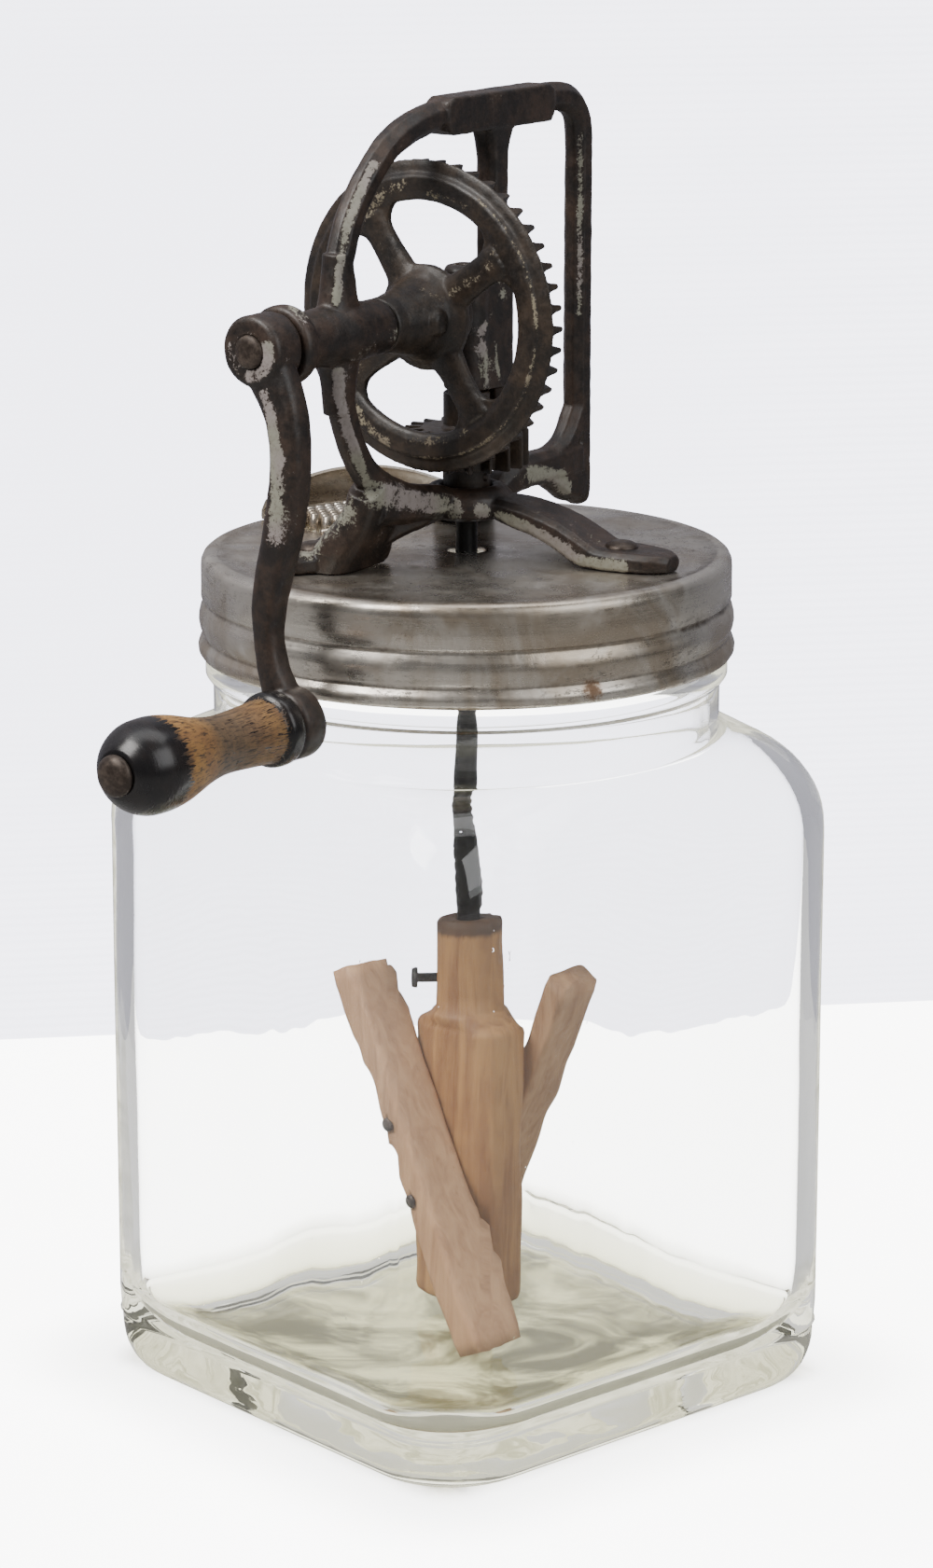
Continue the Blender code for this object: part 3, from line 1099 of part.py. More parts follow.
def main():
    """Build the churn from the jar up."""
    build_jar()
    build_lid()
    build_strainer()
    build_hood()
    build_frame()
    build_foot_rivets()
    build_wheel()
    pin_level = build_pinion()
    build_shaft()
    eye_inner = build_crank()
    build_handle(eye_inner)
    build_rod(pin_level)
    build_dasher()


main()
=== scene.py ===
"""Looks of a hand cranked butter churn: square glass jar, tin lid, iron gear frame, wooden dasher and grip.

Shapes are worked out in millimetres in the row frame: +Z up, the crank along -Y, the jar's base at z = 0.
The mechanism is drawn in crank coordinates (side, up, out): to the right, above the crank line, out along it.
"""

import logging
import math
from dataclasses import dataclass, field
from enum import Enum

import bmesh
import bpy
import numpy as np
from mathutils import Matrix, Vector, noise

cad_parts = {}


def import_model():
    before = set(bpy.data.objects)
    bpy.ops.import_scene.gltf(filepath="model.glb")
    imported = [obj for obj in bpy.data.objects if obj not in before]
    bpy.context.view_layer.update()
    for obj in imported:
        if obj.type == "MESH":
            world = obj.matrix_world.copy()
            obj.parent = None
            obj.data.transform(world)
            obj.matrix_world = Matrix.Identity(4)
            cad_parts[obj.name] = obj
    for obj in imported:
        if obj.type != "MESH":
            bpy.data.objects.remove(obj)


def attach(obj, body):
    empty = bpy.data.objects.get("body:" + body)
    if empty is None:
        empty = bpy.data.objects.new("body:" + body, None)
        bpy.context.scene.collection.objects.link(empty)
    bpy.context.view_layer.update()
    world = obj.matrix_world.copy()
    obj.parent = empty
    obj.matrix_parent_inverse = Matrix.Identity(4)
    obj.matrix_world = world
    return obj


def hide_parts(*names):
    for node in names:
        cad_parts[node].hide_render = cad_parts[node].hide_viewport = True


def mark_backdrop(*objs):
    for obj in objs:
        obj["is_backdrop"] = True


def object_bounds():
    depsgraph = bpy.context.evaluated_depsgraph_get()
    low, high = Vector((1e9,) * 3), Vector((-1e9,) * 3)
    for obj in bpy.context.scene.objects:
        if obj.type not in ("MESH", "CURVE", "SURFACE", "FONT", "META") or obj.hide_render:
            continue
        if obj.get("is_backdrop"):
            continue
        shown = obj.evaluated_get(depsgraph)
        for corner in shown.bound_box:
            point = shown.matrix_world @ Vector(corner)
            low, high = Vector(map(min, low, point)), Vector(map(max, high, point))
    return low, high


LOG = logging.getLogger("churn")
MM = 0.001
CRANK_Z = 271.5
LID_Z = 212.0
TAU = 2.0 * math.pi


class Body(str, Enum):
    """The moving bodies of the frame."""

    JAR = "jar"
    LID = "lid"
    CRANK = "crank"
    GRIP = "grip"
    DASHER = "dasher"


class Slot(str, Enum):
    """The record's material slots."""

    GLASS = "jar_glass"
    TIN = "lid_tin"
    FRAME = "frame_iron"
    GEAR = "gear_iron"
    PIN = "pin_steel"
    ROD = "rod_steel"
    GRIP = "grip_wood"
    HUB = "dasher_hub_wood"
    BLADE = "dasher_blade_wood"


# Shader graphs


class Graph:
    """A material's node tree, filled through one method."""

    def __init__(self, name: str) -> None:
        """Start an empty material.

        Args:
            name: the material's name.
        """
        self.material = bpy.data.materials.new(name)
        self.material.use_nodes = True
        self.tree = self.material.node_tree
        self.tree.nodes.clear()

    def node(self, kind: str, settings: dict | None = None, inputs: dict | None = None, output: int | str = 0) -> "Signal":
        """Add a node.

        Args:
            kind: the node's type without its ShaderNode prefix.
            settings: attributes, set before any socket.
            inputs: socket name or index to a value or a Signal.
            output: the output socket that the result stands for.

        Returns:
            The chosen output as a Signal.
        """
        made = self.tree.nodes.new("ShaderNode" + kind)
        for key, value in (settings or {}).items():
            if key == "stops":
                self._set_stops(made, value)
            else:
                setattr(made, key, value)
        for key, value in (inputs or {}).items():
            socket = made.inputs[key]
            if isinstance(value, Signal):
                self.tree.links.new(value.socket, socket)
            else:
                socket.default_value = value
        return Signal(self, made.outputs[output])

    @staticmethod
    def _set_stops(ramp: bpy.types.ShaderNode, stops: list[tuple[float, tuple]]) -> None:
        """Fill a colour ramp.

        Args:
            ramp: the ramp node.
            stops: (position, colour) pairs in order.
        """
        elements = ramp.color_ramp.elements
        while len(elements) < len(stops):
            elements.new(0.5)
        for element, (position, color) in zip(elements, stops):
            element.position = position
            element.color = (*color, 1.0)

    def place(self, stretch: tuple[float, float, float] = (1.0, 1.0, 1.0)) -> "Signal":
        """Give the place on the object in millimetres.

        Args:
            stretch: factor along each axis.

        Returns:
            The scaled position vector.
        """
        coords = self.node("TexCoord", output="Object")
        return self.node("VectorMath", {"operation": "MULTIPLY"}, {0: coords, 1: [s / MM for s in stretch]})

    def noise(self, place: "Signal", scale: float, detail: float = 4.0, rough: float = 0.55, warp: float = 0.0) -> "Signal":
        """Give fractal noise.

        Args:
            place: the position vector.
            scale: features per millimetre.
            detail: octaves.
            rough: share of each octave.
            warp: distortion.

        Returns:
            A value around 0.5.
        """
        return self.node("TexNoise", {}, {"Vector": place, "Scale": scale, "Detail": detail, "Roughness": rough,
                                          "Distortion": warp}, "Fac")

    def blend(self, low: object, high: object, amount: object) -> "Signal":
        """Blend two colours.

        Args:
            low: colour at 0.
            high: colour at 1.
            amount: value or Signal from 0 to 1.

        Returns:
            The blended colour.
        """
        sockets = {0: amount, 6: _color(low), 7: _color(high)}
        return self.node("Mix", {"data_type": "RGBA", "clamp_factor": True}, sockets, 2)

    def attribute(self, name: str) -> "Signal":
        """Read a mesh attribute.

        Args:
            name: the attribute's name.

        Returns:
            Its value.
        """
        return self.node("Attribute", {"attribute_name": name}, {}, "Fac")

    def finish(self, surface: dict, bump: "Signal | None" = None, strength: float = 0.3, height: float = 0.1) -> bpy.types.Material:
        """Close the graph with a Principled shader.

        Args:
            surface: values or Signals of the shader's sockets.
            bump: a height Signal in millimetres, or None.
            strength: the bump's strength.
            height: the bump's distance in millimetres.

        Returns:
            The finished material.
        """
        sockets = dict(surface)
        if bump is not None:
            sockets["Normal"] = self.node("Bump", {}, {"Strength": strength, "Distance": height * MM, "Height": bump})
        return self.close(self.node("BsdfPrincipled", {}, sockets))

    def close(self, shader: "Signal") -> bpy.types.Material:
        """Link a shader to the material's output.

        Args:
            shader: the surface shader.

        Returns:
            The finished material.
        """
        end = self.tree.nodes.new("ShaderNodeOutputMaterial")
        self.tree.links.new(shader.socket, end.inputs["Surface"])
        return self.material


class Signal:
    """A socket that can be calculated with."""

    def __init__(self, graph: Graph, socket: bpy.types.NodeSocket) -> None:
        """Wrap a socket.

        Args:
            graph: the graph it belongs to.
            socket: the output socket.
        """
        self.graph = graph
        self.socket = socket

    def _math(self, operation: str, *values: object) -> "Signal":
        """Add a Math node.

        Args:
            operation: the node's operation.
            values: its inputs in order.

        Returns:
            The result.
        """
        return self.graph.node("Math", {"operation": operation}, dict(enumerate(values)))

    def __add__(self, other: object) -> "Signal":
        return self._math("ADD", self, other)

    __radd__ = __add__

    def __sub__(self, other: object) -> "Signal":
        return self._math("SUBTRACT", self, other)

    def __rsub__(self, other: object) -> "Signal":
        return self._math("SUBTRACT", other, self)

    def __mul__(self, other: object) -> "Signal":
        return self._math("MULTIPLY", self, other)

    __rmul__ = __mul__

    def __pow__(self, other: object) -> "Signal":
        return self._math("POWER", self, other)

    def ramp(self, low: float, high: float, to_low: float = 0.0, to_high: float = 1.0) -> "Signal":
        """Ease from one value to another.

        Args:
            low: where the change starts.
            high: where it ends.
            to_low: result at the start.
            to_high: result at the end.

        Returns:
            The eased value.
        """
        sockets = {"Value": self, "From Min": low, "From Max": high, "To Min": to_low, "To Max": to_high}
        return self.graph.node("MapRange", {"interpolation_type": "SMOOTHSTEP"}, sockets)

    def above(self, other: object) -> "Signal":
        """Give the larger of two values.

        Args:
            other: the other value.

        Returns:
            The maximum.
        """
        return self._math("MAXIMUM", self, other)

    def line(self, middle: float, width: float) -> "Signal":
        """Give 1 on a thin line where the value passes a level.

        Args:
            middle: the level.
            width: half width of the line in value.

        Returns:
            The line's mask.
        """
        return self._math("ABSOLUTE", self - middle).ramp(0.0, width, 1.0, 0.0)


def _color(value: object) -> object:
    """Make a four part colour of a three part one.

    Args:
        value: a Signal or three numbers.

    Returns:
        A Signal or four numbers.
    """
    return value if isinstance(value, Signal) else (*value, 1.0)


# Finishes


@dataclass(frozen=True)
class Iron:
    """Dark cast iron, its pale paint left in worn patches."""

    name: str = "worn_iron"
    dark: tuple[float, float, float] = (0.0105, 0.0075, 0.0062)
    brown: tuple[float, float, float] = (0.050, 0.030, 0.020)
    pale: tuple[float, float, float] = (0.275, 0.270, 0.215)
    pink: tuple[float, float, float] = (0.290, 0.252, 0.240)
    paint: float = 1.0

    def build(self) -> bpy.types.Material:
        """Build the material.

        Returns:
            The material.
        """
        graph = Graph(self.name)
        place = graph.place()
        wear = graph.attribute("wear")
        coarse = graph.noise(place, 0.13, 5.0, 0.62)
        fine = graph.noise(place, 0.75, 8.0, 0.78, 0.6)
        speck = graph.noise(place, 1.9, 4.0, 0.65)
        base = graph.blend(self.dark, self.brown, (coarse * 0.8 + fine * 0.5).ramp(0.50, 0.86))
        rub = (wear * 0.55 + fine * 0.5 + speck * 0.15).ramp(0.60, 0.92)
        base = graph.blend(base, (0.085, 0.058, 0.042), rub * 0.6)
        ragged = (fine - 0.5) * 2.1 + (coarse - 0.5) * 1.2 + (speck - 0.5) * 1.3
        paint = (wear * self.paint + ragged).ramp(0.60, 0.70)
        coat = graph.blend(self.pale, self.pink, graph.noise(place, 0.045, 2.0).ramp(0.42, 0.58))
        coat = graph.blend(coat, (0.15, 0.13, 0.105), graph.noise(place, 0.9, 6.0, 0.75).ramp(0.46, 0.74) * 0.85)
        color = graph.blend(base, coat, paint)
        rough = fine.ramp(0.3, 0.75, 0.34, 0.56).above(paint * 0.66)
        height = fine * 0.35 + speck * 0.2 + coarse * 0.6 + paint * 0.3
        return graph.finish({"Base Color": color, "Roughness": rough, "Specular IOR Level": 0.52}, height, 0.6, 0.30)


@dataclass(frozen=True)
class Tin:
    """Dull worn tinplate with scratches, brown patina and specks of rust."""

    name: str = "worn_tin"

    def build(self) -> bpy.types.Material:
        """Build the material.

        Returns:
            The material.
        """
        graph = Graph(self.name)
        place = graph.place()
        cloud = graph.noise(place, 0.030, 5.0, 0.6, 0.8)
        patch = graph.noise(place, 0.11, 6.0, 0.62)
        fine = graph.noise(place, 0.9, 5.0, 0.7)
        grime = graph.attribute("grime")
        color = graph.blend((0.58, 0.545, 0.49), (0.36, 0.30, 0.23), cloud.ramp(0.38, 0.66))
        color = graph.blend(color, (0.68, 0.66, 0.63), patch.ramp(0.55, 0.80) * 0.6)
        dirt = grime * 0.8 + (patch - 0.5) * 0.9 + (fine - 0.5) * 0.5
        color = graph.blend(color, (0.115, 0.090, 0.072), dirt.ramp(0.30, 1.0))
        smear = graph.noise(graph.place((0.10, 0.10, 2.2)), 0.30, 6.0, 0.75, 0.4)
        color = graph.blend(color, (0.12, 0.10, 0.08), smear.ramp(0.60, 0.80) * 0.35)
        crack = graph.noise(graph.place((0.35, 0.35, 1.6)), 0.16, 7.0, 0.75, 1.2).line(0.5, 0.014)
        crack = crack * graph.noise(place, 0.035, 2.0).ramp(0.45, 0.62) * graph.noise(place, 0.6, 2.0).ramp(0.42, 0.6)
        color = graph.blend(color, (0.030, 0.024, 0.020), crack * 0.9)
        speck = graph.noise(place, 1.5, 4.0, 0.6).ramp(0.66, 0.74) * graph.noise(place, 0.1, 2.0).ramp(0.45, 0.6)
        color = graph.blend(color, (0.07, 0.045, 0.028), speck * 0.85)
        rust = graph.attribute("rust") + (fine - 0.5) * 0.8
        color = graph.blend(color, (0.20, 0.10, 0.040), rust.ramp(0.45, 0.9) * 0.8)
        rough = (patch * 0.5 + smear * 0.5).ramp(0.36, 0.66, 0.20, 0.46).above(crack * 0.6)
        rough = rough.above(dirt.ramp(0.5, 1.1) * 0.55).above(rust.ramp(0.5, 0.9) * 0.7)
        height = cloud * 1.0 + patch * 0.4 + fine * 0.06 - crack * 0.10 + smear * 0.08
        return graph.finish({"Base Color": color, "Roughness": rough, "Metallic": 0.88}, height, 0.4, 0.6)


@dataclass(frozen=True)
class Glass:
    """Clear old glass, olive where it is thick, with slow waves and small bubbles in it; rays caught after many glossy
    bounces end in a painted olive glow.
    """

    name: str = "clear_glass"
    tint: tuple[float, float, float] = (0.985, 0.990, 0.985)
    thick: tuple[float, float, float] = (0.66, 0.65, 0.47)
    # Colours of the painted glow, light standing in for what is caught in the thick glass, not the glass's own colour.
    trapped_glow: tuple[float, float, float] = (1.0, 0.97, 0.80)
    streak: tuple[float, float, float] = (0.60, 0.585, 0.44)
    bounces: float = 3.2

    def build(self) -> bpy.types.Material:
        """Build the material.

        Returns:
            The material.
        """
        graph = Graph(self.name)
        wave = graph.noise(graph.place((1.0, 1.0, 0.45)), 0.040, 2.0, 0.45)
        seeds = graph.noise(graph.place((1.0, 1.0, 0.8)), 0.50, 2.0, 0.5).ramp(0.76, 0.84)
        normal = graph.node("Bump", {}, {"Strength": 0.45, "Distance": 0.8 * MM, "Height": wave + seeds * 0.10})
        color = graph.blend(self.tint, self.thick, graph.attribute("thick"))
        shader = graph.node("BsdfPrincipled", {}, {
            "Base Color": color, "Roughness": 0.0, "IOR": 1.47, "Transmission Weight": 1.0, "Normal": normal})
        # Painted glow: past a few glossy bounces the glass turns into an emission in swirled pale olive, standing in
        # for light caught in the thick base.
        swirl = graph.noise(graph.place((1.0, 1.0, 2.6)), 0.055, 4.0, 0.6, 1.0)
        painted_glow = graph.node("Emission", {}, {"Color": graph.blend(self.trapped_glow, self.streak, swirl.ramp(0.36, 0.66)),
                                           "Strength": 2.2})
        trapped_glow = graph.node("LightPath", {}, {}, "Glossy Depth").ramp(self.bounces, self.bounces + 0.4)
        shader = graph.node("MixShader", {}, {0: trapped_glow, 1: shader, 2: painted_glow})
        clear = graph.node("BsdfTransparent", {}, {"Color": (0.94, 0.945, 0.94, 1.0)})
        shadow = graph.node("LightPath", {}, {}, "Is Shadow Ray")
        return graph.close(graph.node("MixShader", {}, {0: shadow, 1: shader, 2: clear}))


@dataclass(frozen=True)
class Steel:
    """Browned or blackened steel of pins, rivets and rods."""

    name: str = "brown_steel"
    color: tuple[float, float, float] = (0.040, 0.029, 0.023)
    worn: tuple[float, float, float] = (0.13, 0.10, 0.078)
    metallic: float = 0.5

    def build(self) -> bpy.types.Material:
        """Build the material.

        Returns:
            The material.
        """
        graph = Graph(self.name)
        place = graph.place()
        fine = graph.noise(place, 0.9, 7.0, 0.7)
        patch = graph.noise(place, 0.2, 4.0, 0.6)
        color = graph.blend(self.color, self.worn, (fine * 0.6 + patch * 0.6).ramp(0.5, 0.85))
        rough = fine.ramp(0.3, 0.7, 0.32, 0.58)
        return graph.finish({"Base Color": color, "Roughness": rough, "Metallic": self.metallic},
                            fine * 0.3 + patch * 0.4, 0.4, 0.2)


@dataclass(frozen=True)
class Timber:
    """Plain wood with long grain along one direction."""

    name: str
    light: tuple[float, float, float]
    deep: tuple[float, float, float]
    grain: tuple[float, float, float] = (1.0, 1.0, 0.08)
    streak: tuple[float, float, float] = (0.25, 0.15, 0.08)
    streaks: float = 0.4

    def build(self) -> bpy.types.Material:
        """Build the material.

        Returns:
            The material.
        """
        graph = Graph(self.name)
        long = graph.place(self.grain)
        rings = graph.noise(long, 0.22, 4.0, 0.6, 1.2)
        pores = graph.noise(long, 1.6, 4.0, 0.65)
        cloud = graph.noise(graph.place(), 0.05, 3.0)
        color = graph.blend(self.light, self.deep, (rings * 0.8 + cloud * 0.5).ramp(0.45, 0.85))
        color = graph.blend(color, self.streak, (pores * 0.7 + rings * 0.35).ramp(0.54, 0.75) * self.streaks)
        stain = graph.attribute("stain") + (pores - 0.5) * 0.5
        color = graph.blend(color, tuple(c * 0.30 for c in self.streak), stain.ramp(0.35, 0.85) * 0.9)
        rough = pores.ramp(0.3, 0.7, 0.5, 0.72)
        return graph.finish({"Base Color": color, "Roughness": rough}, pores * 0.6 + rings * 0.6, 0.5, 0.22)


@dataclass(frozen=True)
class GripWood:
    """Turned wood, black paint left at its ends and worn to yellow wood on the bulb."""

    name: str = "grip_wood"

    def build(self) -> bpy.types.Material:
        """Build the material.

        Returns:
            The material.
        """
        graph = Graph(self.name)
        streak = graph.noise(graph.place((1.0, 0.09, 1.0)), 1.2, 5.0, 0.7, 0.3)
        tick = graph.noise(graph.place((1.0, 0.09, 1.0)), 2.4, 4.0, 0.75)
        turn = graph.noise(graph.place((0.5, 2.6, 0.5)), 0.6, 4.0, 0.6)
        patch = graph.noise(graph.place(), 0.14, 4.0, 0.6)
        tan = graph.blend((0.40, 0.215, 0.070), (0.27, 0.135, 0.050), patch.ramp(0.35, 0.65))
        waist = graph.blend((0.085, 0.062, 0.044), (0.150, 0.102, 0.062), turn.ramp(0.35, 0.7))
        wood = graph.blend(waist, tan, graph.attribute("gold"))
        wood = graph.blend(wood, (0.022, 0.015, 0.011), (streak * 0.6 + tick * 0.5).ramp(0.53, 0.68) * 0.9)
        black = graph.blend((0.0075, 0.0068, 0.0075), (0.017, 0.013, 0.012), patch.ramp(0.4, 0.7))
        mask = (graph.attribute("bare") + (streak - 0.5) * 1.3 + (tick - 0.5) * 0.9).ramp(0.42, 0.60)
        color = graph.blend(black, wood, mask)
        rough = mask * 0.24 + turn * 0.12 + 0.20
        height = turn * 0.35 - mask * 0.15 + tick * 0.1
        return graph.finish({"Base Color": color, "Roughness": rough}, height, 0.4, 0.25)


@dataclass(frozen=True)
class Paper:
    """A plain pale studio surface, brighter to the eye than in what it reflects."""

    name: str
    seen: tuple[float, float, float]
    strength: float
    lit: float = 0.34
    rib_shading: float = 0.0
    # Depth of the painted shadow around the jar's base.
    shade: float = 0.0
    foot: float = 70.0
    turn: float = -11.4

    def build(self) -> bpy.types.Material:
        """Build the material.

        Returns:
            The material.
        """
        graph = Graph(self.name)
        place = graph.place()
        cloud = graph.noise(place, 0.004, 3.0)
        fibre = graph.noise(place, 0.6, 4.0)
        color = graph.blend(tuple(c * 0.93 for c in self.seen), self.seen, cloud.ramp(0.3, 0.7))
        # Painted shade: faint darker bands stand in for the shading of the backdrop's horizontal ridges.
        if self.rib_shading:
            bands = {"Vector": place, "Scale": self.rib_shading, "Distortion": 0.6, "Detail": 2.0}
            wave = graph.node("TexWave", {"bands_direction": "Z"}, bands, "Fac")
            color = graph.blend(color, tuple(c * 0.93 for c in self.seen), wave.ramp(0.3, 0.9) * 0.7)
        # Painted shadow: the floor darkens towards the jar's base, and under the jar it turns dark olive where the
        # thick glass floor stands over it.
        if self.shade:
            away = self.away(graph)
            color = graph.blend(color, tuple(c * (1.0 - self.shade) for c in self.seen), away.ramp(8.0, 46.0, 1.0, 0.0))
            jar_shadow = graph.blend((0.050, 0.047, 0.030), (0.30, 0.29, 0.23), graph.noise(place, 0.030, 4.0, 0.6, 1.0).ramp(0.38, 0.66))
            color = graph.blend(color, jar_shadow, away.ramp(1.0, 14.0, 1.0, 0.0))
        bright = graph.node("Emission", {}, {"Color": color, "Strength": self.strength})
        grey = graph.blend(tuple(c * self.lit * 0.96 for c in self.seen), tuple(c * self.lit for c in self.seen), cloud)
        dull = graph.node("BsdfPrincipled", {}, {"Base Color": grey, "Roughness": fibre * 0.2 + 0.75})
        eye = graph.node("LightPath", {}, {}, "Is Camera Ray")
        through = graph.node("LightPath", {}, {}, "Is Transmission Ray")
        through = through * graph.node("LightPath", {}, {}, "Diffuse Depth").ramp(0.4, 0.6, 1.0, 0.0)
        mirrored = graph.node("LightPath", {}, {}, "Glossy Depth")
        through = through * (mirrored.ramp(0.4, 0.6, 1.0, 0.05) + mirrored.ramp(1.4, 1.6, 0.0, 0.27))
        front = graph.node("MixShader", {}, {0: eye.above(through), 1: dull, 2: bright})
        back = graph.node("BsdfTransparent", {}, {"Color": (1.0, 1.0, 1.0, 1.0)})
        side = graph.node("NewGeometry", {}, {}, "Backfacing")
        made = graph.close(graph.node("MixShader", {}, {0: side, 1: front, 2: back}))
        made.cycles.emission_sampling = "NONE"
        return made

    def away(self, graph: Graph) -> Signal:
        """Give the distance from the jar's square base along the floor, which shapes the painted shadow.

        Args:
            graph: the graph that it joins.

        Returns:
            0 under the jar, then millimetres beyond it.
        """
        near = graph.node("VectorRotate", {"rotation_type": "Z_AXIS"},
                          {"Vector": graph.place(), "Angle": -math.radians(self.turn)})
        parts = [graph.node("SeparateXYZ", {}, {0: near}, axis) for axis in (0, 1)]
        reach = [graph.node("Math", {"operation": "ABSOLUTE"}, {0: part}) for part in parts]
        reach = [(part - self.foot + 14.0).above(0.0) for part in reach]
        return (reach[0] ** 2.0 + reach[1] ** 2.0) ** 0.5


# Mesh building


def crank_point(side: float, up: float, out: float) -> np.ndarray:
    """Turn crank coordinates into a place in the row frame.

    Args:
        side: to the right, in millimetres.
        up: above the crank line.
        out: out along the crank.

    Returns:
        The place in millimetres.
    """
    return np.array([side, -out, CRANK_Z + up])


CRANK_PLACE = np.array([[1, 0, 0, 0], [0, 0, -1, 0], [0, 1, 0, CRANK_Z], [0, 0, 0, 1]], float)


def place_at(x: float, y: float, z: float, axis: tuple[float, float, float] = (0, 0, 1)) -> np.ndarray:
    """Give a matrix that puts local Z along an axis at a place.

    Args:
        x: place in millimetres.
        y: place.
        z: place.
        axis: direction of local Z.

    Returns:
        A 4 by 4 matrix.
    """
    turn = Vector((0, 0, 1)).rotation_difference(Vector(axis)).to_matrix().to_4x4()
    return np.array(Matrix.Translation((x, y, z)) @ turn)


def moved(points: np.ndarray, place: np.ndarray) -> np.ndarray:
    """Apply a matrix to points.

    Args:
        points: n by 3 array.
        place: 4 by 4 matrix.

    Returns:
        The moved points.
    """
    return points @ place[:3, :3].T + place[:3, 3]


def curve(points: list[tuple[float, ...]], per_span: int) -> np.ndarray:
    """Draw a smooth curve through points.

    Args:
        points: the points that it passes.
        per_span: steps between two of them.

    Returns:
        The curve's points.
    """
    given = np.array(points, float)
    ends = np.vstack([2 * given[0] - given[1], given, 2 * given[-1] - given[-2]])
    out = []
    for a, b, c, d in zip(ends, ends[1:], ends[2:], ends[3:]):
        for step in range(per_span):
            t = step / per_span
            out.append(0.5 * (2 * b + (c - a) * t + (2 * a - 5 * b + 4 * c - d) * t**2 + (3 * b - a - 3 * c + d) * t**3))
    out.append(given[-1])
    return np.array(out)


def oval(width: float, depth: float, power: float, sides: int) -> np.ndarray:
    """Draw a section between an oval and a box.

    Args:
        width: full width along the first axis.
        depth: full depth along the second.
        power: 2 for an oval, more for a squarer one.
        sides: number of points.

    Returns:
        n by 2 array.
    """
    angles = np.arange(sides) / sides * TAU
    c, s = np.cos(angles), np.sin(angles)
    reach = (np.abs(c) ** power + np.abs(s) ** power) ** (-1.0 / power)
    return np.stack([width / 2 * c * reach, depth / 2 * s * reach], 1)


def chamfered(width: float, depth: float, chamfer: float) -> np.ndarray:
    """Draw a rectangle with its corners cut off.

    Args:
        width: full width along the first axis.
        depth: full depth along the second.
        chamfer: what is cut off each side.

    Returns:
        8 by 2 array.
    """
    x, y = width / 2, depth / 2
    c = min(chamfer, 0.9 * x, 0.9 * y)
    return np.array([(x, y - c), (x - c, y), (c - x, y), (-x, y - c), (-x, c - y), (c - x, -y), (x - c, -y), (x, c - y)])


def rounded_square(side: float, corner: float, count: int) -> np.ndarray:
    """Draw a rounded square whose points are spread evenly by angle.

    Args:
        side: its side.
        corner: its corner radius.
        count: number of points.

    Returns:
        n by 2 array.
    """
    half = side / 2
    out = []
    for i in range(count):
        angle = TAU * (i + 0.5) / count
        c, s = math.cos(angle), math.sin(angle)
        a, b = abs(c), abs(s)
        reach = half / max(a, b)
        inner = half - corner
        if min(a, b) * reach > inner:
            along = inner * (a + b)
            reach = along + math.sqrt(max(along * along - 2 * inner * inner + corner * corner, 0.0))
        out.append((c * reach, s * reach))
    return np.array(out)


class Solid:
    """A closed mesh gathered from rings and other solids."""

    def __init__(self) -> None:
        """Start empty."""
        self.points: list[np.ndarray] = []
        self.faces: list[tuple[int, ...]] = []
        self.count = 0

    def add(self, points: np.ndarray, faces: list[tuple[int, ...]]) -> "Solid":
        """Add points and faces.

        Args:
            points: n by 3 array in millimetres.
            faces: index tuples into these points.

        Returns:
            This solid.
        """
        base = self.count
        self.points.append(points)
        self.faces += [tuple(base + i for i in face) for face in faces]
        self.count += len(points)
        return self

    def loft(self, rings: list[np.ndarray], closed: bool = False) -> "Solid":
        """Add a skin through rings of equal count.

        Args:
            rings: n by 3 arrays.
            closed: whether the last ring joins the first.

        Returns:
            This solid.
        """
        n = len(rings[0])
        faces: list[tuple[int, ...]] = []
        spans = len(rings) if closed else len(rings) - 1
        for r in range(spans):
            a, b = r * n, ((r + 1) % len(rings)) * n
            faces += [(a + i, a + (i + 1) % n, b + (i + 1) % n, b + i) for i in range(n)]
        if not closed:
            last = (len(rings) - 1) * n
            faces += [tuple(reversed(range(n))), tuple(range(last, last + n))]
        return self.add(np.vstack(rings), faces)

    def lathe(self, profile: np.ndarray, sides: int, place: np.ndarray, closed: bool = False) -> "Solid":
        """Add a turned shape about a place's Z axis.

        Args:
            profile: (radius, height) pairs.
            sides: number of sides.
            place: 4 by 4 matrix.
            closed: whether the profile is a loop.

        Returns:
            This solid.
        """
        angles = np.arange(sides) / sides * TAU
        rings = [moved(np.stack([r * np.cos(angles), r * np.sin(angles), np.full(sides, h)], 1), place)
                 for r, h in profile]
        return self.loft(rings, closed)

    def sweep(self, route: np.ndarray, sections: list[np.ndarray], across: tuple[float, float, float]) -> "Solid":
        """Add a bar along a route.

        Args:
            route: n by 3 array.
            sections: one n by 2 section per point.
            across: direction of the section's first axis.

        Returns:
            This solid.
        """
        rings = []
        for i, point in enumerate(route):
            ahead = route[min(i + 1, len(route) - 1)] - route[max(i - 1, 0)]
            side = np.cross(ahead, across)
            side /= np.linalg.norm(side)
            first = np.cross(side, ahead)
            first /= np.linalg.norm(first)
            rings.append(point + sections[i][:, :1] * first + sections[i][:, 1:] * side)
        return self.loft(rings)

    def prism(self, outline: np.ndarray, low: float, high: float, place: np.ndarray) -> "Solid":
        """Add a flat sided prism.

        Args:
            outline: n by 2 array.
            low: lower height.
            high: upper height.
            place: 4 by 4 matrix.

        Returns:
            This solid.
        """
        rings = [moved(np.column_stack([outline, np.full(len(outline), h)]), place) for h in (low, high)]
        return self.loft(rings)

    def object(self, name: str) -> bpy.types.Object:
        """Make a Blender object of it.

        Args:
            name: the object's name.

        Returns:
            The object, smooth shaded.
        """
        mesh = bpy.data.meshes.new(name)
        mesh.from_pydata([tuple(p * MM) for p in np.vstack(self.points)], [], self.faces)
        bm = bmesh.new()
        bm.from_mesh(mesh)
        bmesh.ops.recalc_face_normals(bm, faces=bm.faces)
        bm.to_mesh(mesh)
        bm.free()
        mesh.shade_smooth()
        made = bpy.data.objects.new(name, mesh)
        bpy.context.scene.collection.objects.link(made)
        return made


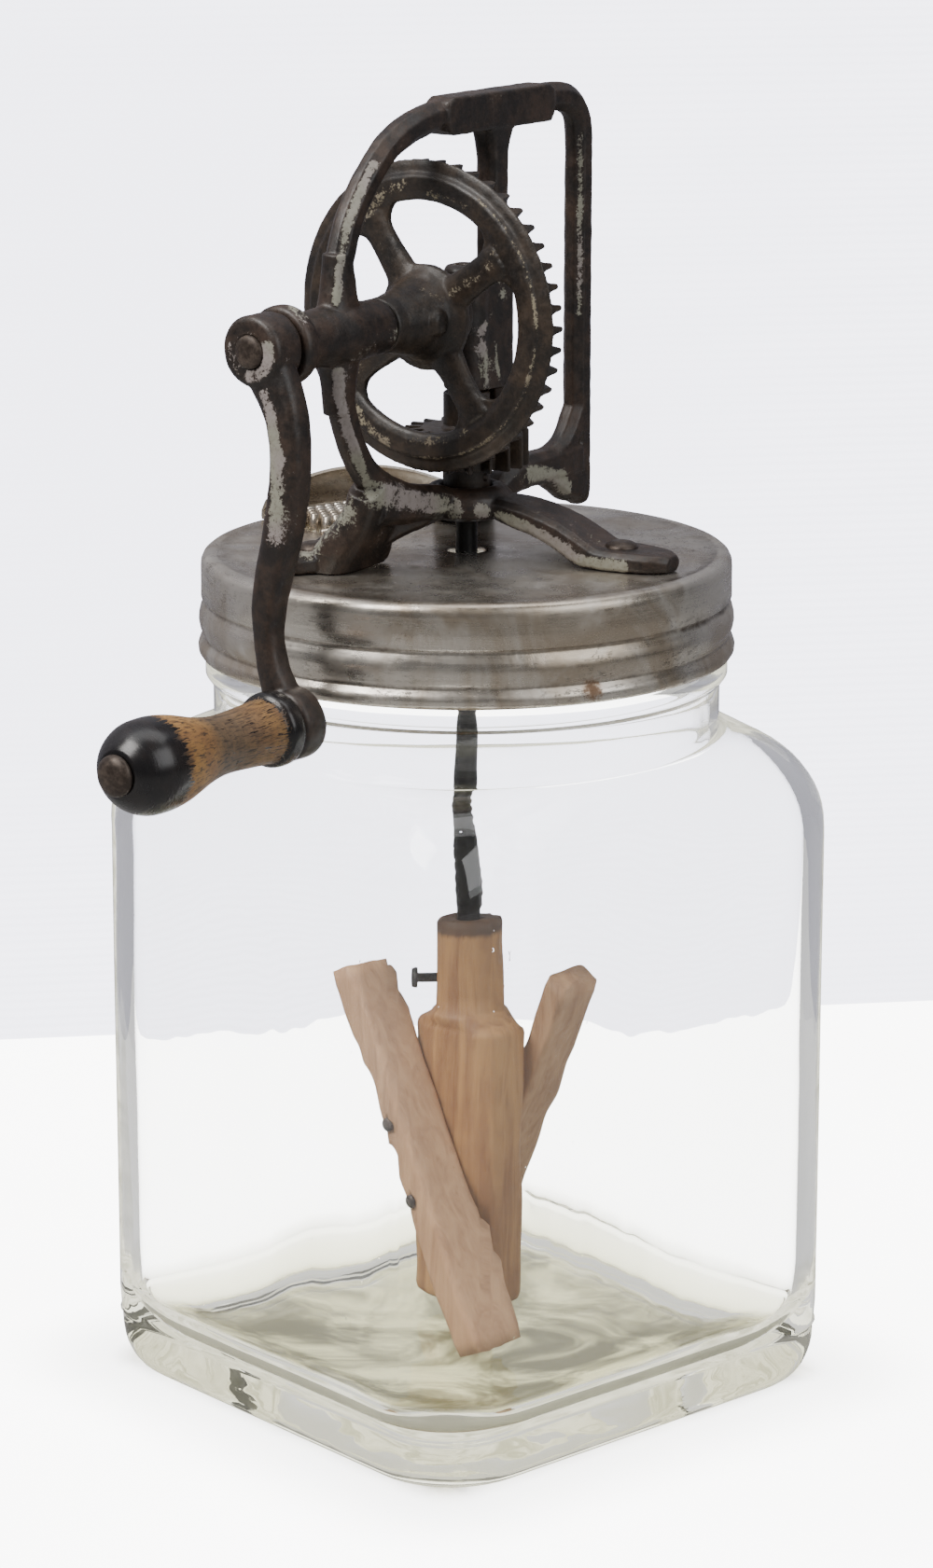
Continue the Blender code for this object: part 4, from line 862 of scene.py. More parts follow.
def settle(obj: bpy.types.Object) -> bpy.types.Object:
    """Apply an object's modifiers.

    Args:
        obj: the object.

    Returns:
        The same object with a plain mesh.
    """
    bpy.context.view_layer.update()
    graph = bpy.context.evaluated_depsgraph_get()
    mesh = bpy.data.meshes.new_from_object(obj.evaluated_get(graph))
    obj.modifiers.clear()
    obj.data = mesh
    mesh.shade_smooth()
    return obj


def fuse(obj: bpy.types.Object, voxel: float, rounds: int) -> bpy.types.Object:
    """Melt overlapping solids into one casting with soft inner corners.

    Args:
        obj: the object.
        voxel: voxel size in millimetres.
        rounds: smoothing rounds.

    Returns:
        The object.
    """
    remesh = obj.modifiers.new("fuse", "REMESH")
    remesh.mode = "VOXEL"
    remesh.voxel_size = voxel * MM
    soften = obj.modifiers.new("soften", "SMOOTH")
    soften.factor = 0.5
    soften.iterations = rounds
    return settle(obj)


def cut(obj: bpy.types.Object, cutter: Solid) -> bpy.types.Object:
    """Cut a solid out of an object.

    Args:
        obj: the object.
        cutter: what is cut away.

    Returns:
        The object.
    """
    tool = cutter.object(obj.name + "_cutter")
    change = obj.modifiers.new("cut", "BOOLEAN")
    change.operation = "DIFFERENCE"
    change.solver = "EXACT"
    change.object = tool
    settle(obj)
    bpy.data.objects.remove(tool)
    return obj


def bevel(obj: bpy.types.Object, width: float, segments: int = 2, angle: float = 35.0) -> bpy.types.Object:
    """Round an object's edges.

    Args:
        obj: the object.
        width: bevel width in millimetres.
        segments: its steps.
        angle: smallest edge angle in degrees.

    Returns:
        The object.
    """
    change = obj.modifiers.new("bevel", "BEVEL")
    change.width = width * MM
    change.segments = segments
    change.limit_method = "ANGLE"
    change.angle_limit = math.radians(angle)
    change.harden_normals = True
    return settle(obj)


def vertex_arrays(mesh: bpy.types.Mesh) -> tuple[np.ndarray, np.ndarray]:
    """Read vertex places and normals.

    Args:
        mesh: the mesh.

    Returns:
        Places in millimetres and unit normals, both n by 3.
    """
    places = np.empty(len(mesh.vertices) * 3)
    mesh.vertices.foreach_get("co", places)
    normals = np.empty(len(mesh.vertices) * 3)
    mesh.vertices.foreach_get("normal", normals)
    return places.reshape(-1, 3) / MM, normals.reshape(-1, 3)


def set_attribute(obj: bpy.types.Object, name: str, values: np.ndarray) -> None:
    """Store a value per vertex.

    Args:
        obj: the object.
        name: the attribute's name.
        values: one value per vertex.
    """
    made = obj.data.attributes.new(name, "FLOAT", "POINT")
    made.data.foreach_set("value", values.astype(np.float32))


@dataclass(frozen=True)
class Wear:
    """Paint left along a line on the surface, or rubbed off if its amount is negative."""

    amount: float
    reach: float
    line: tuple[tuple[float, float, float], ...]

    def over(self, places: np.ndarray) -> np.ndarray:
        """Give what it adds at every place.

        Args:
            places: n by 3 array in millimetres.

        Returns:
            n values.
        """
        points = [crank_point(*point) for point in self.line]
        nearest = np.full(len(places), np.inf)
        for start, end in zip(points, [*points[1:], points[-1]]):
            along = end - start
            share = np.clip((places - start) @ along / (along @ along + 1e-9), 0.0, 1.0)
            gap = ((places - start - share[:, None] * along) ** 2).sum(1)
            nearest = np.minimum(nearest, gap)
        return self.amount * np.exp(-(nearest / self.reach**2) ** 1.5)


def add_wear(obj: bpy.types.Object, reach: int, scale: float, marks: list[Wear], ground: float = 0.0) -> None:
    """Store how exposed each vertex is: its edges and the given marks.

    Args:
        obj: the object.
        reach: smoothing rounds that find the edges.
        scale: millimetres of edge height that count as 1.
        marks: lines with more or less paint.
        ground: value added everywhere.
    """
    mesh = obj.data
    places, normals = vertex_arrays(mesh)
    ends = np.empty(len(mesh.edges) * 2, int)
    mesh.edges.foreach_get("vertices", ends)
    ends = ends.reshape(-1, 2)
    both = np.concatenate([ends[:, 0], ends[:, 1]])
    other = np.concatenate([ends[:, 1], ends[:, 0]])
    valence = np.maximum(np.bincount(both, minlength=len(places)), 1)[:, None]
    soft = places.copy()
    for _ in range(reach):
        sums = np.stack([np.bincount(both, soft[other, k], len(places)) for k in range(3)], 1)
        soft = 0.5 * soft + 0.5 * sums / valence
    wear = np.clip(((places - soft) * normals).sum(1) / scale, -1.0, 1.0) * 0.45 + ground
    for mark in marks:
        wear += mark.over(places)
    set_attribute(obj, "wear", wear)


def dent(obj: bpy.types.Object, height: float, scale: float, seed: float) -> None:
    """Push a surface in and out by slow noise.

    Args:
        obj: the object.
        height: depth in millimetres.
        scale: features per millimetre.
        seed: shift of the noise.
    """
    places, normals = vertex_arrays(obj.data)
    lift = np.array([noise.noise(Vector(p * scale) + Vector((seed, 0, 0))) for p in places])
    places = places + normals * (lift * height)[:, None]
    obj.data.vertices.foreach_set("co", (places * MM).ravel())
    obj.data.update()


class Maker:
    """Finishes shared by the sub-assemblies, and how a piece joins the frame."""

    def __init__(self) -> None:
        """Build every finish once."""
        self.finishes = {
            Slot.GLASS: Glass().build(),
            Slot.TIN: Tin().build(),
            Slot.FRAME: Iron().build(),
            Slot.GEAR: Iron("gear_iron", (0.0100, 0.0076, 0.0060), (0.044, 0.029, 0.018), (0.28, 0.245, 0.165),
                            (0.24, 0.20, 0.14), 0.95).build(),
            Slot.PIN: Steel().build(),
            Slot.ROD: Steel("black_rod", (0.008, 0.0075, 0.0075), (0.030, 0.027, 0.025), 0.3).build(),
            Slot.GRIP: GripWood().build(),
            Slot.HUB: Timber("hub_wood", (0.44, 0.235, 0.085), (0.25, 0.115, 0.042), (1.0, 1.0, 0.08),
                             (0.15, 0.070, 0.028), 0.5).build(),
            Slot.BLADE: Timber("blade_wood", (0.52, 0.305, 0.160), (0.37, 0.200, 0.100), (1.0, 1.0, 0.10),
                               (0.24, 0.12, 0.060), 0.5).build(),
        }

    def piece(self, obj: bpy.types.Object, body: Body, slot: Slot, *nodes: str) -> bpy.types.Object:
        """Give a piece its finish, its body and the nodes that it stands for.

        Args:
            obj: the piece.
            body: the body that it rides on.
            slot: its material slot.
            nodes: the CAD nodes that it replaces.

        Returns:
            The piece.
        """
        obj.data.materials.clear()
        obj.data.materials.append(self.finishes[slot])
        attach(obj, body.value)
        if nodes:
            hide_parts(*nodes)
        return obj


# Sub-assemblies


@dataclass
class GlassJar:
    """The square jar with its wavy walls, thick floor and round neck."""

    side: float = 134.6
    corner: float = 15.5
    wall: float = 4.2
    turn: float = -11.4
    neck: float = 62.5
    count: int = 176

    def ring(self, side: float, corner: float, height: float, round_share: float = 0.0, radius: float = 0.0,
             wave: float = 0.0) -> np.ndarray:
        """Give one ring of the jar.

        Args:
            side: side of the rounded square.
            corner: its corner radius.
            height: height above the base.
            round_share: share of the circle in the blend.
            radius: radius of that circle.
            wave: depth of the slow waves in the surface.

        Returns:
            n by 3 array in the row frame.
        """
        square = rounded_square(side, corner, self.count)
        angles = TAU * (np.arange(self.count) + 0.5) / self.count
        circle = np.stack([np.cos(angles), np.sin(angles)], 1) * radius
        flat = square * (1 - round_share) + circle * round_share
        if wave:
            lift = np.array([noise.noise(Vector((p[0] * 0.028, p[1] * 0.028, height * 0.012 + 7.0))) for p in flat])
            flat = flat * (1 - wave * lift / np.linalg.norm(flat, axis=1))[:, None]
        c, s = math.cos(math.radians(self.turn)), math.sin(math.radians(self.turn))
        x = flat[:, 0] * c - flat[:, 1] * s
        y = flat[:, 0] * s + flat[:, 1] * c
        return np.column_stack([x, y, np.full(self.count, height)])

    def outer(self) -> list[np.ndarray]:
        """Give the outside rings from the base to the rim.

        Returns:
            The rings.
        """
        rings = [self.ring(self.side * share, corner, height) for share, corner, height in (
            (0.30, 12, 0.9), (0.70, 18, 0.7), (0.86, 20, 0.35), (0.93, 22, 0.0))]
        for step in range(1, 9):
            turn = step / 8 * math.pi / 2
            rings.append(self.ring(self.side - 7.0 * (1 - math.sin(turn)), 22 - 5 * math.sin(turn),
                                   12.0 * (1 - math.cos(turn))))
        rings.append(self.ring(self.side - 0.2, 17.0, 13.2))
        rings.append(self.ring(self.side + 0.5, 16.4, 14.0))
        rings.append(self.ring(self.side - 0.2, 16.0, 15.0))
        for height in np.linspace(20, 141, 14):
            rings.append(self.ring(self.side, self.corner, height, wave=0.25))
        for step in range(0, 15):
            turn = step / 14 * math.pi / 2
            rings.append(self.ring(self.side, self.corner, 143.5 + 24.5 * math.sin(turn), 1 - math.cos(turn), self.neck))
        for radius, height in ((62.3, 170.5), (62.3, 180.6), (63.2, 181.2), (64.2, 182.6), (64.2, 184.8), (63.2, 186.2),
                               (62.3, 187.0), (62.3, 208.4), (61.8, 210.2), (60.6, 210.8)):
            rings.append(self.ring(self.side, self.corner, height, 1.0, radius))
        return rings

    def inner(self) -> list[np.ndarray]:
        """Give the inside rings from the rim to the middle of the floor.

        Returns:
            The rings.
        """
        inner_side = self.side - 2 * self.wall
        rings = [self.ring(inner_side, 14, height, 1.0, radius) for radius, height in (
            (59.4, 210.6), (58.7, 209.4), (58.6, 188.0), (59.4, 184.0), (58.6, 180.0), (58.5, 172.0))]
        for step in range(14, -1, -1):
            turn = step / 14 * math.pi / 2
            rings.append(self.ring(inner_side, 13.5, 141.5 + 24.0 * math.sin(turn), 1 - math.cos(turn), 58.5, wave=0.9))
        for height in np.linspace(136, 24, 14):
            rings.append(self.ring(inner_side, 13.5, height, wave=1.3))
        for step in range(1, 8):
            turn = step / 8 * math.pi / 2
            rings.append(self.ring(inner_side - 22 * (1 - math.cos(turn)), 14 + 8 * math.sin(turn),
                                   24 - 14.2 * math.sin(turn), wave=1.3 * math.cos(turn)))
        for share, height in ((0.72, 9.4), (0.5, 9.0), (0.25, 8.8), (0.08, 8.7)):
            rings.append(self.ring(inner_side * share, 20 * share, height))
        return rings

    def build(self, maker: Maker) -> None:
        """Build the jar.

        Args:
            maker: finishes and placing.
        """
        jar = Solid().loft(self.outer() + self.inner()).object("glass_jar")
        places, _ = vertex_arrays(jar.data)
        set_attribute(jar, "thick", np.clip((24.0 - places[:, 2]) / 14.0, 0.0, 1.0) ** 1.3)
        maker.piece(jar, Body.JAR, Slot.GLASS, "jar")


@dataclass
class ScrewLid:
    """The tin lid with its strainer, pouring hood and the feet's rivets."""

    pour_angle: float = 167.0
    hood_angle: float = 157.0
    foot_angles: tuple[float, ...] = (-22.0, 98.0, 218.0)
    rivet_place: float = 42.6

    def shell(self, maker: Maker) -> None:
        """Build the pressed lid.

        Args:
            maker: finishes and placing.
        """
        edge = [(62.4, 0.25), (63.6, 0.0), (64.45, -0.7), (64.95, -1.8), (65.05, -3.2)]
        skirt = [(65.05, -7), (65.1, -10.3), (64.6, -10.9), (64.35, -11.3), (64.6, -12.0), (65.2, -13.2), (65.6, -14.8),
                 (65.7, -16.2), (65.4, -17.8), (64.9, -19.2), (64.5, -19.9), (64.7, -20.5), (65.5, -21.4), (65.9, -22.6),
                 (65.8, -23.7), (65.2, -24.6), (64.3, -24.95)]
        top = [(4.6, -0.35), (4.8, 0.0), (5.4, 0.1), (9, 0.05), (16, 0.0)] + [(r, 0.0) for r in range(20, 60, 3)] + [(61, 0.05)]
        outside = top + edge + skirt
        inside = [(63.8, -24.6), (64.2, -21), (63.6, -12), (64.0, -4), (63.2, -1.4), (61, -0.85), (20, -0.85), (4.6, -0.85)]
        base = place_at(0, 0, LID_Z)
        lid = Solid().lathe(np.array(outside + inside), 192, base, True).object("screw_lid")
        angle = math.radians(self.pour_angle)
        turn = np.array(Matrix.Translation((0, 0, LID_Z)) @ Matrix.Rotation(angle, 4, "Z"))
        window = Solid().prism(np.array([(37.1, -15.4), (52.4, -15.4), (52.4, 15.4), (37.1, 15.4)]), -3, 3, turn)
        cut(lid, window)
        places, _ = vertex_arrays(lid.data)
        flat = np.hypot(places[:, 0], places[:, 1])
        azimuth = np.degrees(np.arctan2(places[:, 1], places[:, 0])) % 360
        side = np.exp(-((places[:, 2] - LID_Z + 11.2) / 1.1) ** 2) + np.exp(-((places[:, 2] - LID_Z + 19.9) / 1.0) ** 2)
        side += np.exp(-((places[:, 2] - LID_Z + 24.6) / 1.2) ** 2)
        on_top = (places[:, 2] > LID_Z - 0.6) & (flat < 62)
        grime = np.where(on_top, 0.15 + 0.55 * np.exp(-((flat - 60) / 4.0) ** 2) + 0.4 * np.exp(-((flat - 12) / 9.0) ** 2),
                         0.75 * side)
        grime += 0.35 * ((flat > 60) & (places[:, 2] > LID_Z - 12)) * np.exp(-((azimuth - 5) / 28.0) ** 2)
        set_attribute(lid, "grime", grime)
        rust = np.exp(-(((azimuth - 334.0) / 3.4) ** 2 + ((places[:, 2] - LID_Z + 21.5) / 4.0) ** 2)) * (flat > 62)
        set_attribute(lid, "rust", rust)
        maker.piece(lid, Body.LID, Slot.TIN, "lid_shell")

    def strainer(self, maker: Maker) -> None:
        """Build the perforated strainer.

        Args:
            maker: finishes and placing.
        """
        angle = math.radians(self.pour_angle)
        turn = np.array(Matrix.Translation((0, 0, LID_Z)) @ Matrix.Rotation(angle, 4, "Z"))
        plate = np.array([(34.5, -18), (55, -18), (55, 18), (34.5, 18)])
        made = Solid().prism(plate, 0.3, 1.1, turn)
        rim = [((34.5, -18), (55, -18)), ((55, -18), (55, 18)), ((55, 18), (34.5, 18)), ((34.5, 18), (34.5, -18))]
        for (x0, y0), (x1, y1) in rim:
            start, end = moved(np.array([[x0, y0, 1.2], [x1, y1, 1.2]]), turn)
            made.sweep(np.array([start, end]), [oval(1.5, 1.4, 2.6, 12)] * 2, (0, 0, 1))
        strainer = made.object("strainer")
        holes = Solid()
        ring = np.array([(1.05, 0.0), (0.5, 1.0), (-0.5, 1.0), (-1.05, 0.0), (-0.5, -1.0), (0.5, -1.0)]) * 1.02
        row = 0
        out = 38.6
        while out < 51.2:
            reach = 13.2 - (1.45 if row % 2 else 0.0)
            across = -reach
            while across < reach + 0.1:
                holes.prism(ring + (out, across), -2, 4, turn)
                across += 2.9
            out += 2.5
            row += 1
        cut(strainer, holes)
        set_attribute(strainer, "grime", np.full(len(strainer.data.vertices), 0.35))
        maker.piece(strainer, Body.LID, Slot.TIN, "vent_strainer")

    def hood(self, maker: Maker) -> None:
        """Build the curved pouring hood with its rolled edge.

        Args:
            maker: finishes and placing.
        """
        rings = []
        for share in np.linspace(-1, 1, 41):
            angle = math.radians(self.hood_angle + 25.0 * share)
            height = 11.0 * (1 - 0.5 * abs(share) ** 2.2)
            lean = 2.6 * height / 11.0
            section = [(58.3, 0.35), (63.2, 0.35), (63.4, 1.2), (63.3, height * 0.5), (63.3 - lean * 0.8, height - 0.6),
                       (63.2 - lean, height), (62.6 - lean, height + 0.1), (62.1 - lean, height - 0.5),
                       (62.4 - lean * 0.8, height - 1.2), (62.4, height * 0.5), (62.2, 1.6), (61.6, 1.15), (58.3, 1.15)]
            rings.append(np.array([(r * math.cos(angle), r * math.sin(angle), LID_Z + z) for r, z in section]))
        hood = Solid().loft(rings).object("pour_hood")
        set_attribute(hood, "grime", np.full(len(hood.data.vertices), 0.3))
        maker.piece(bevel(hood, 0.15), Body.LID, Slot.TIN, "vent_hood")

    def rivets(self, maker: Maker) -> None:
        """Build the rivets that hold the feet.

        Args:
            maker: finishes and placing.
        """
        for name, angle in zip(("front", "side", "rear"), self.foot_angles):
            turn = math.radians(angle)
            side, out = self.rivet_place * math.sin(turn), self.rivet_place * math.cos(turn)
            x, y, z = crank_point(side, 0, out)
            top = 4.9
            profile = curve([(1.8, -1.1), (1.8, top - 0.2), (3.9, top - 0.15), (3.95, top + 0.35), (3.4, top + 1.0),
                             (2.2, top + 1.5), (0.4, top + 1.65)], 3)
            made = Solid().lathe(profile, 32, place_at(x, y, LID_Z))
            made.lathe(np.array([(1.8, -0.9), (3.2, -1.1), (3.2, -1.8), (2.2, -2.5), (0.5, -2.6)]), 32, place_at(x, y, LID_Z))
            maker.piece(made.object(f"foot_rivet_{name}_look"), Body.LID, Slot.PIN, f"foot_rivet_{name}")

    def build(self, maker: Maker) -> None:
        """Build the lid.

        Args:
            maker: finishes and placing.
        """
        self.shell(maker)
        self.strainer(maker)
        self.hood(maker)
        self.rivets(maker)


@dataclass
class GearFrame:
    """The iron frame: loop, column, bearings, hub and three arched feet in one casting."""

    leg: list[tuple[float, float]] = field(default_factory=lambda: [
        (8, -46.4), (20, -44), (30, -40.5), (38, -36), (43.5, -29.5), (47, -22.5), (49.2, -15), (49.8, -8), (49.6, 0),
        (49.6, 13.7), (48.6, 18.5), (45.7, 25.8), (41, 32.5), (36.2, 37.6), (30.3, 42.3), (22.5, 45.5), (12, 47.6),
        (0, 48.0), (-20, 48.0), (-35, 48.1), (-40.8, 46.8), (-44.6, 43.2), (-45.9, 37.5), (-45.9, 20), (-45.9, 0),
        (-45.9, -25), (-45.9, -45), (-45.9, -51.6)])
    foot_angles: tuple[float, ...] = (-22.0, 98.0, 218.0)
    voxel: float = 0.40
    rounds: int = 2

    def loop(self, solid: Solid) -> None:
        """Add the loop's bar, its far leg rounded off at the foot.

        Args:
            solid: what the casting gathers in.
        """
        flat = [tuple(point) for point in curve(self.leg, 5)]
        ends = [(-45.9, -53.2, 0.94), (-45.9, -54.4, 0.76), (-45.9, -55.1, 0.42)]
        route = np.array([crank_point(0, z, t) for t, z in flat] + [crank_point(0, z, t) for t, z, _ in ends])
        shares = [1.0] * len(flat) + [share for _, _, share in ends]
        solid.sweep(route, [chamfered(6.5, 7.1, 2.1) * share for share in shares], (1, 0, 0))

    def column(self, solid: Solid) -> None:
        """Add the column, the rod's bearing and the raised panel.

        Args:
            solid: what the casting gathers in.
        """
        rise = curve([(-19.6, 6.2, 6.6), (-10, 6.2, 7.2), (10, 6.2, 7.4), (30, 6.2, 7.4), (38, 6.4, 8.2),
                      (43, 6.8, 11.5), (47, 7.0, 17)], 4)
        route = np.array([crank_point(0, z, -10.4) for z, _, _ in rise])
        solid.sweep(route, [chamfered(w, d, 1.5) for _, w, d in rise], (1, 0, 0))
        plate = chamfered(10.6, 13.0, 1.6) + (0, 7.0)
        solid.prism(plate, -19.6, 6.8, place_at(0, 0, CRANK_Z))
        solid.prism(chamfered(10.6, 7.0, 1.6) + (0, 10.2), -24.0, -19.0, place_at(0, 0, CRANK_Z))
        boss = [(5.1, -19.6), (5.6, -19.0), (5.5, 9.4), (5.0, 10.4), (3.6, 10.8)]
        solid.lathe(np.array(boss), 40, place_at(0, 0, CRANK_Z))
        panel = [(-31.4, -2.9), (-30.2, -4.6), (9.4, -4.6), (11.4, -3.4), (11.6, 3.4), (9.6, 4.55), (-29.6, 4.55),
                 (-31.4, 3.4)]
        place = np.array([[0, 0, 1, 0], [-1, 0, 0, 0], [0, 1, 0, CRANK_Z + 47.3], [0, 0, 0, 1]], float)
        for low, high, inset in ((-3.8, 3.8, 0.5), (-3.45, 3.45, 0.0)):
            flat = np.array(panel)
            flat = flat - np.sign(flat) * inset
            solid.prism(flat, low, high, place)

    def bearing(self, solid: Solid) -> None:
        """Add the crank's bearing and the swell where the loop crosses it.

        Args:
            solid: what the casting gathers in.
        """
        profile = [(6.3, 35.2), (6.65, 35.6), (6.7, 40), (7.2, 45), (7.6, 49.6), (7.2, 54), (6.8, 59), (6.7, 66.3), (6.1, 66.9)]
        solid.lathe(np.array(profile), 64, CRANK_PLACE)
        swell = curve([(-19, 6.4, 7.1), (-11, 7.4, 9.0), (0, 9.4, 12.5), (11, 7.4, 9.0), (19, 6.4, 7.1)], 4)
        route = np.array([crank_point(0, z, 49.7) for z, _, _ in swell])
        solid.sweep(route, [oval(w, d, 2.6, 24) for _, w, d in swell], (1, 0, 0))

    def arch(self, solid: Solid) -> None:
        """Add the hub, the arm to the near leg, the arch to the far leg and its fillet.

        Args:
            solid: what the casting gathers in.
        """
        hub = [(3.0, -50.7), (9.5, -50.7), (11.6, -49.6), (12.0, -47.6), (11.2, -45.0), (9.4, -43.4), (7.9, -42.7),
               (6.8, -42.9), (6.55, -43.5), (6.55, -45.1), (3.0, -45.1)]
        solid.lathe(np.array(hub), 48, place_at(0, 0, CRANK_Z))
        for steps in ([(2, -48.2, 6.4, 5.8), (-8, -48.1, 6.4, 6.0), (-15.6, -44.9, 7.4, 7.4), (-24, -43.4, 7.6, 8.2),
                       (-34, -43.4, 7.6, 8.6), (-44, -43.0, 7.2, 9.6)],
                      [(-27, -43.2, 6.4, 6.4), (-35, -41.6, 6.4, 6.8), (-41, -38.0, 6.4, 6.8), (-45.2, -30.5, 6.4, 6.0)],
                      [(-30, -45.0, 6.4, 5.0), (-36, -47.0, 6.6, 7.4), (-40.6, -48.8, 6.8, 9.0), (-45.4, -50.4, 6.8, 8.6)],
                      [(4, -48.0, 8.4, 5.6), (11, -45.6, 7.4, 7.6), (20, -44.6, 7.2, 8.8), (28, -43.6, 7.4, 10.4),
                       (36, -41.6, 7.6, 11.5)]):
            smooth = curve(steps, 4)
            route = np.array([crank_point(0, z, t) for t, z, _, _ in smooth])
            solid.sweep(route, [chamfered(w, d, 1.9) for _, _, w, d in smooth], (1, 0, 0))

    def feet(self, solid: Solid) -> None:
        """Add the three arched feet and the web that carries the near leg down into the first.

        Args:
            solid: what the casting gathers in.
        """
        shape = curve([(3, -47.6, 9.5, 5.2), (9, -47.5, 11.4, 4.9), (15, -48.4, 13.4, 6.0), (21.5, -49.9, 14.4, 6.2),
                       (27.5, -52.0, 15.0, 6.4), (31.5, -54.0, 15.2, 6.6), (35, -55.9, 15.3, 6.6), (39, -57.0, 15.3, 5.6),
                       (46, -57.2, 15.0, 5.2), (51, -57.3, 13.4, 5.0), (54.4, -57.4, 10.2, 4.7), (56.6, -57.6, 6.0, 4.0)], 3)
        for angle in self.foot_angles:
            turn = math.radians(angle)
            outward = crank_point(math.sin(turn), 0, math.cos(turn)) - crank_point(0, 0, 0)
            route = np.array([outward * r + (0, 0, CRANK_Z + z) for r, z, _, _ in shape])
            across = tuple(np.cross(outward, (0, 0, 1)))
            solid.sweep(route, [chamfered(w, h, 1.3) for _, _, w, h in shape], across)
        web = curve([(0.4, -38.0, 39.5, 7.8, 9.0), (-1.2, -42.5, 37.2, 8.8, 14.0), (-4.4, -47.5, 35.0, 10.0, 20.0),
                     (-8.4, -52.8, 33.4, 11.6, 24.5), (-11.8, -58.0, 32.0, 13.0, 27.0)], 4)
        route = np.array([crank_point(w, z, t) for w, z, t, _, _ in web])
        solid.sweep(route, [oval(w, d, 3.2, 28) for _, _, _, w, d in web], (1, 0, 0))

    def marks(self) -> list[Wear]:
        """List where the paint is left on the casting, as (side, up, out) lines.

        Returns:
            The marks.
        """
        return [
            Wear(1.05, 1.35, ((2.4, 39.2, 38.8), (2.5, 35.4, 42.2), (2.6, 31.6, 45.1), (2.6, 27.8, 47.8), (2.5, 23.4, 50.1),
                              (2.6, 19.5, 51.3), (2.6, 15.5, 52.4), (2.6, 8.2, 53.4))),
            Wear(1.05, 1.55, ((2.6, -8.2, 53.4), (2.6, -13.1, 52.8), (2.6, -17.5, 51.5), (2.7, -21.9, 49.8),
                              (2.9, -27.2, 47.3), (2.6, -32.3, 44.8), (2.6, -36.6, 42.0))),
            Wear(0.95, 4.2, ((2.0, -39.9, 39.0), (3.0, -41.4, 31.4))),
            Wear(0.95, 3.0, ((3.1, -42.8, 26.0), (3.4, -45.0, 17.4), (4.2, -47.0, 11.0))),
            Wear(0.80, 4.0, ((-2.8, -43.9, 42.0), (-6.1, -48.5, 40.8), (-9.8, -52.0, 41.0), (-13.5, -55.4, 45.2))),
            Wear(0.42, 6.0, ((-4.0, -49.4, 33.0), (-7.0, -51.4, 35.0))),
            Wear(1.10, 2.0, ((9.3, -47.4, 6.6), (16.0, -49.4, 5.0), (24.0, -52.0, 4.0), (31.0, -54.6, 3.2),
                             (34.6, -57.4, 3.0), (41.0, -57.8, 1.8), (47.0, -57.8, 0.8))),
            Wear(0.36, 4.6, ((20.0, -47.4, -1.0), (30.0, -50.4, -2.0), (36.0, -53.6, -1.0), (42.0, -55.0, -4.0))),
            Wear(1.05, 2.6, ((3.8, -43.6, -21.5), (3.9, -44.6, -28.0), (3.8, -46.4, -34.0), (3.4, -49.6, -37.2))),
            Wear(0.50, 2.0, ((4.6, -42.0, -12.0), (4.4, -44.0, -17.0))),
            Wear(0.85, 1.0, ((2.5, 38.0, -43.3), (2.6, 18.6, -43.3), (2.6, 2.1, -43.3), (2.5, -6.6, -43.2))),
            Wear(0.35, 1.2, ((-2.0, 40.0, -42.6), (-2.0, 5.0, -42.6))),
            Wear(0.50, 1.6, ((5.5, 2.5, -6.9), (5.5, -4.3, 0.5), (5.4, -9.0, 0.4), (5.4, -15.0, -4.9))),
            Wear(0.62, 1.6, ((5.4, -4.3, 0.4), (4.6, -5.0, 5.4))),
            Wear(0.62, 2.4, ((5.4, -9.0, 1.4), (5.3, -13.0, 0.6), (5.2, -17.6, -1.2))),
            Wear(0.75, 0.8, ((5.6, -8.2, -4.4), (5.6, -12.0, -5.2), (5.6, -18.0, -6.4))),
            Wear(0.50, 2.2, ((5.2, 6.6, -6.4), (5.2, 2.0, -9.4))),
            Wear(0.50, 2.6, ((6.4, -1.1, 30.2), (6.5, -1.3, 37.4))),
            Wear(0.42, 3.2, ((6.7, -2.5, 44.9), (5.4, -5.3, 50.2), (4.2, -8.0, 51.6))),
            Wear(0.30, 3.0, ((3.4, 49.0, 8.0), (3.4, 49.0, -8.0))),
        ]

    def build(self, maker: Maker) -> None:
        """Build the casting.

        Args:
            maker: finishes and placing.
        """
        solid = Solid()
        self.loop(solid)
        self.column(solid)
        self.bearing(solid)
        self.arch(solid)
        self.feet(solid)
        frame = fuse(solid.object("frame_casting"), self.voxel, self.rounds)
        cutter = Solid().lathe(np.array([(4.27, 30), (4.27, 70)]), 48, CRANK_PLACE)
        cutter.lathe(np.array([(3.05, -58.9), (3.05, 14)]), 40, place_at(0, 0, CRANK_Z))
        for angle in self.foot_angles:
            x, y, z = crank_point(42.6 * math.sin(math.radians(angle)), -59, 42.6 * math.cos(math.radians(angle)))
            cutter.lathe(np.array([(2.1, 0.2), (2.1, 9)]), 24, place_at(x, y, z))
        under = np.array([(-90, -90), (90, -90), (90, 90), (-90, 90)])
        cut(cut(frame, cutter), Solid().prism(under, -30, 0.35, place_at(0, 0, LID_Z)))
        dent(frame, 0.12, 0.35, 3.0)
        add_wear(frame, 16, 0.45, self.marks(), -0.06)
        maker.piece(frame, Body.LID, Slot.FRAME, "gear_frame")


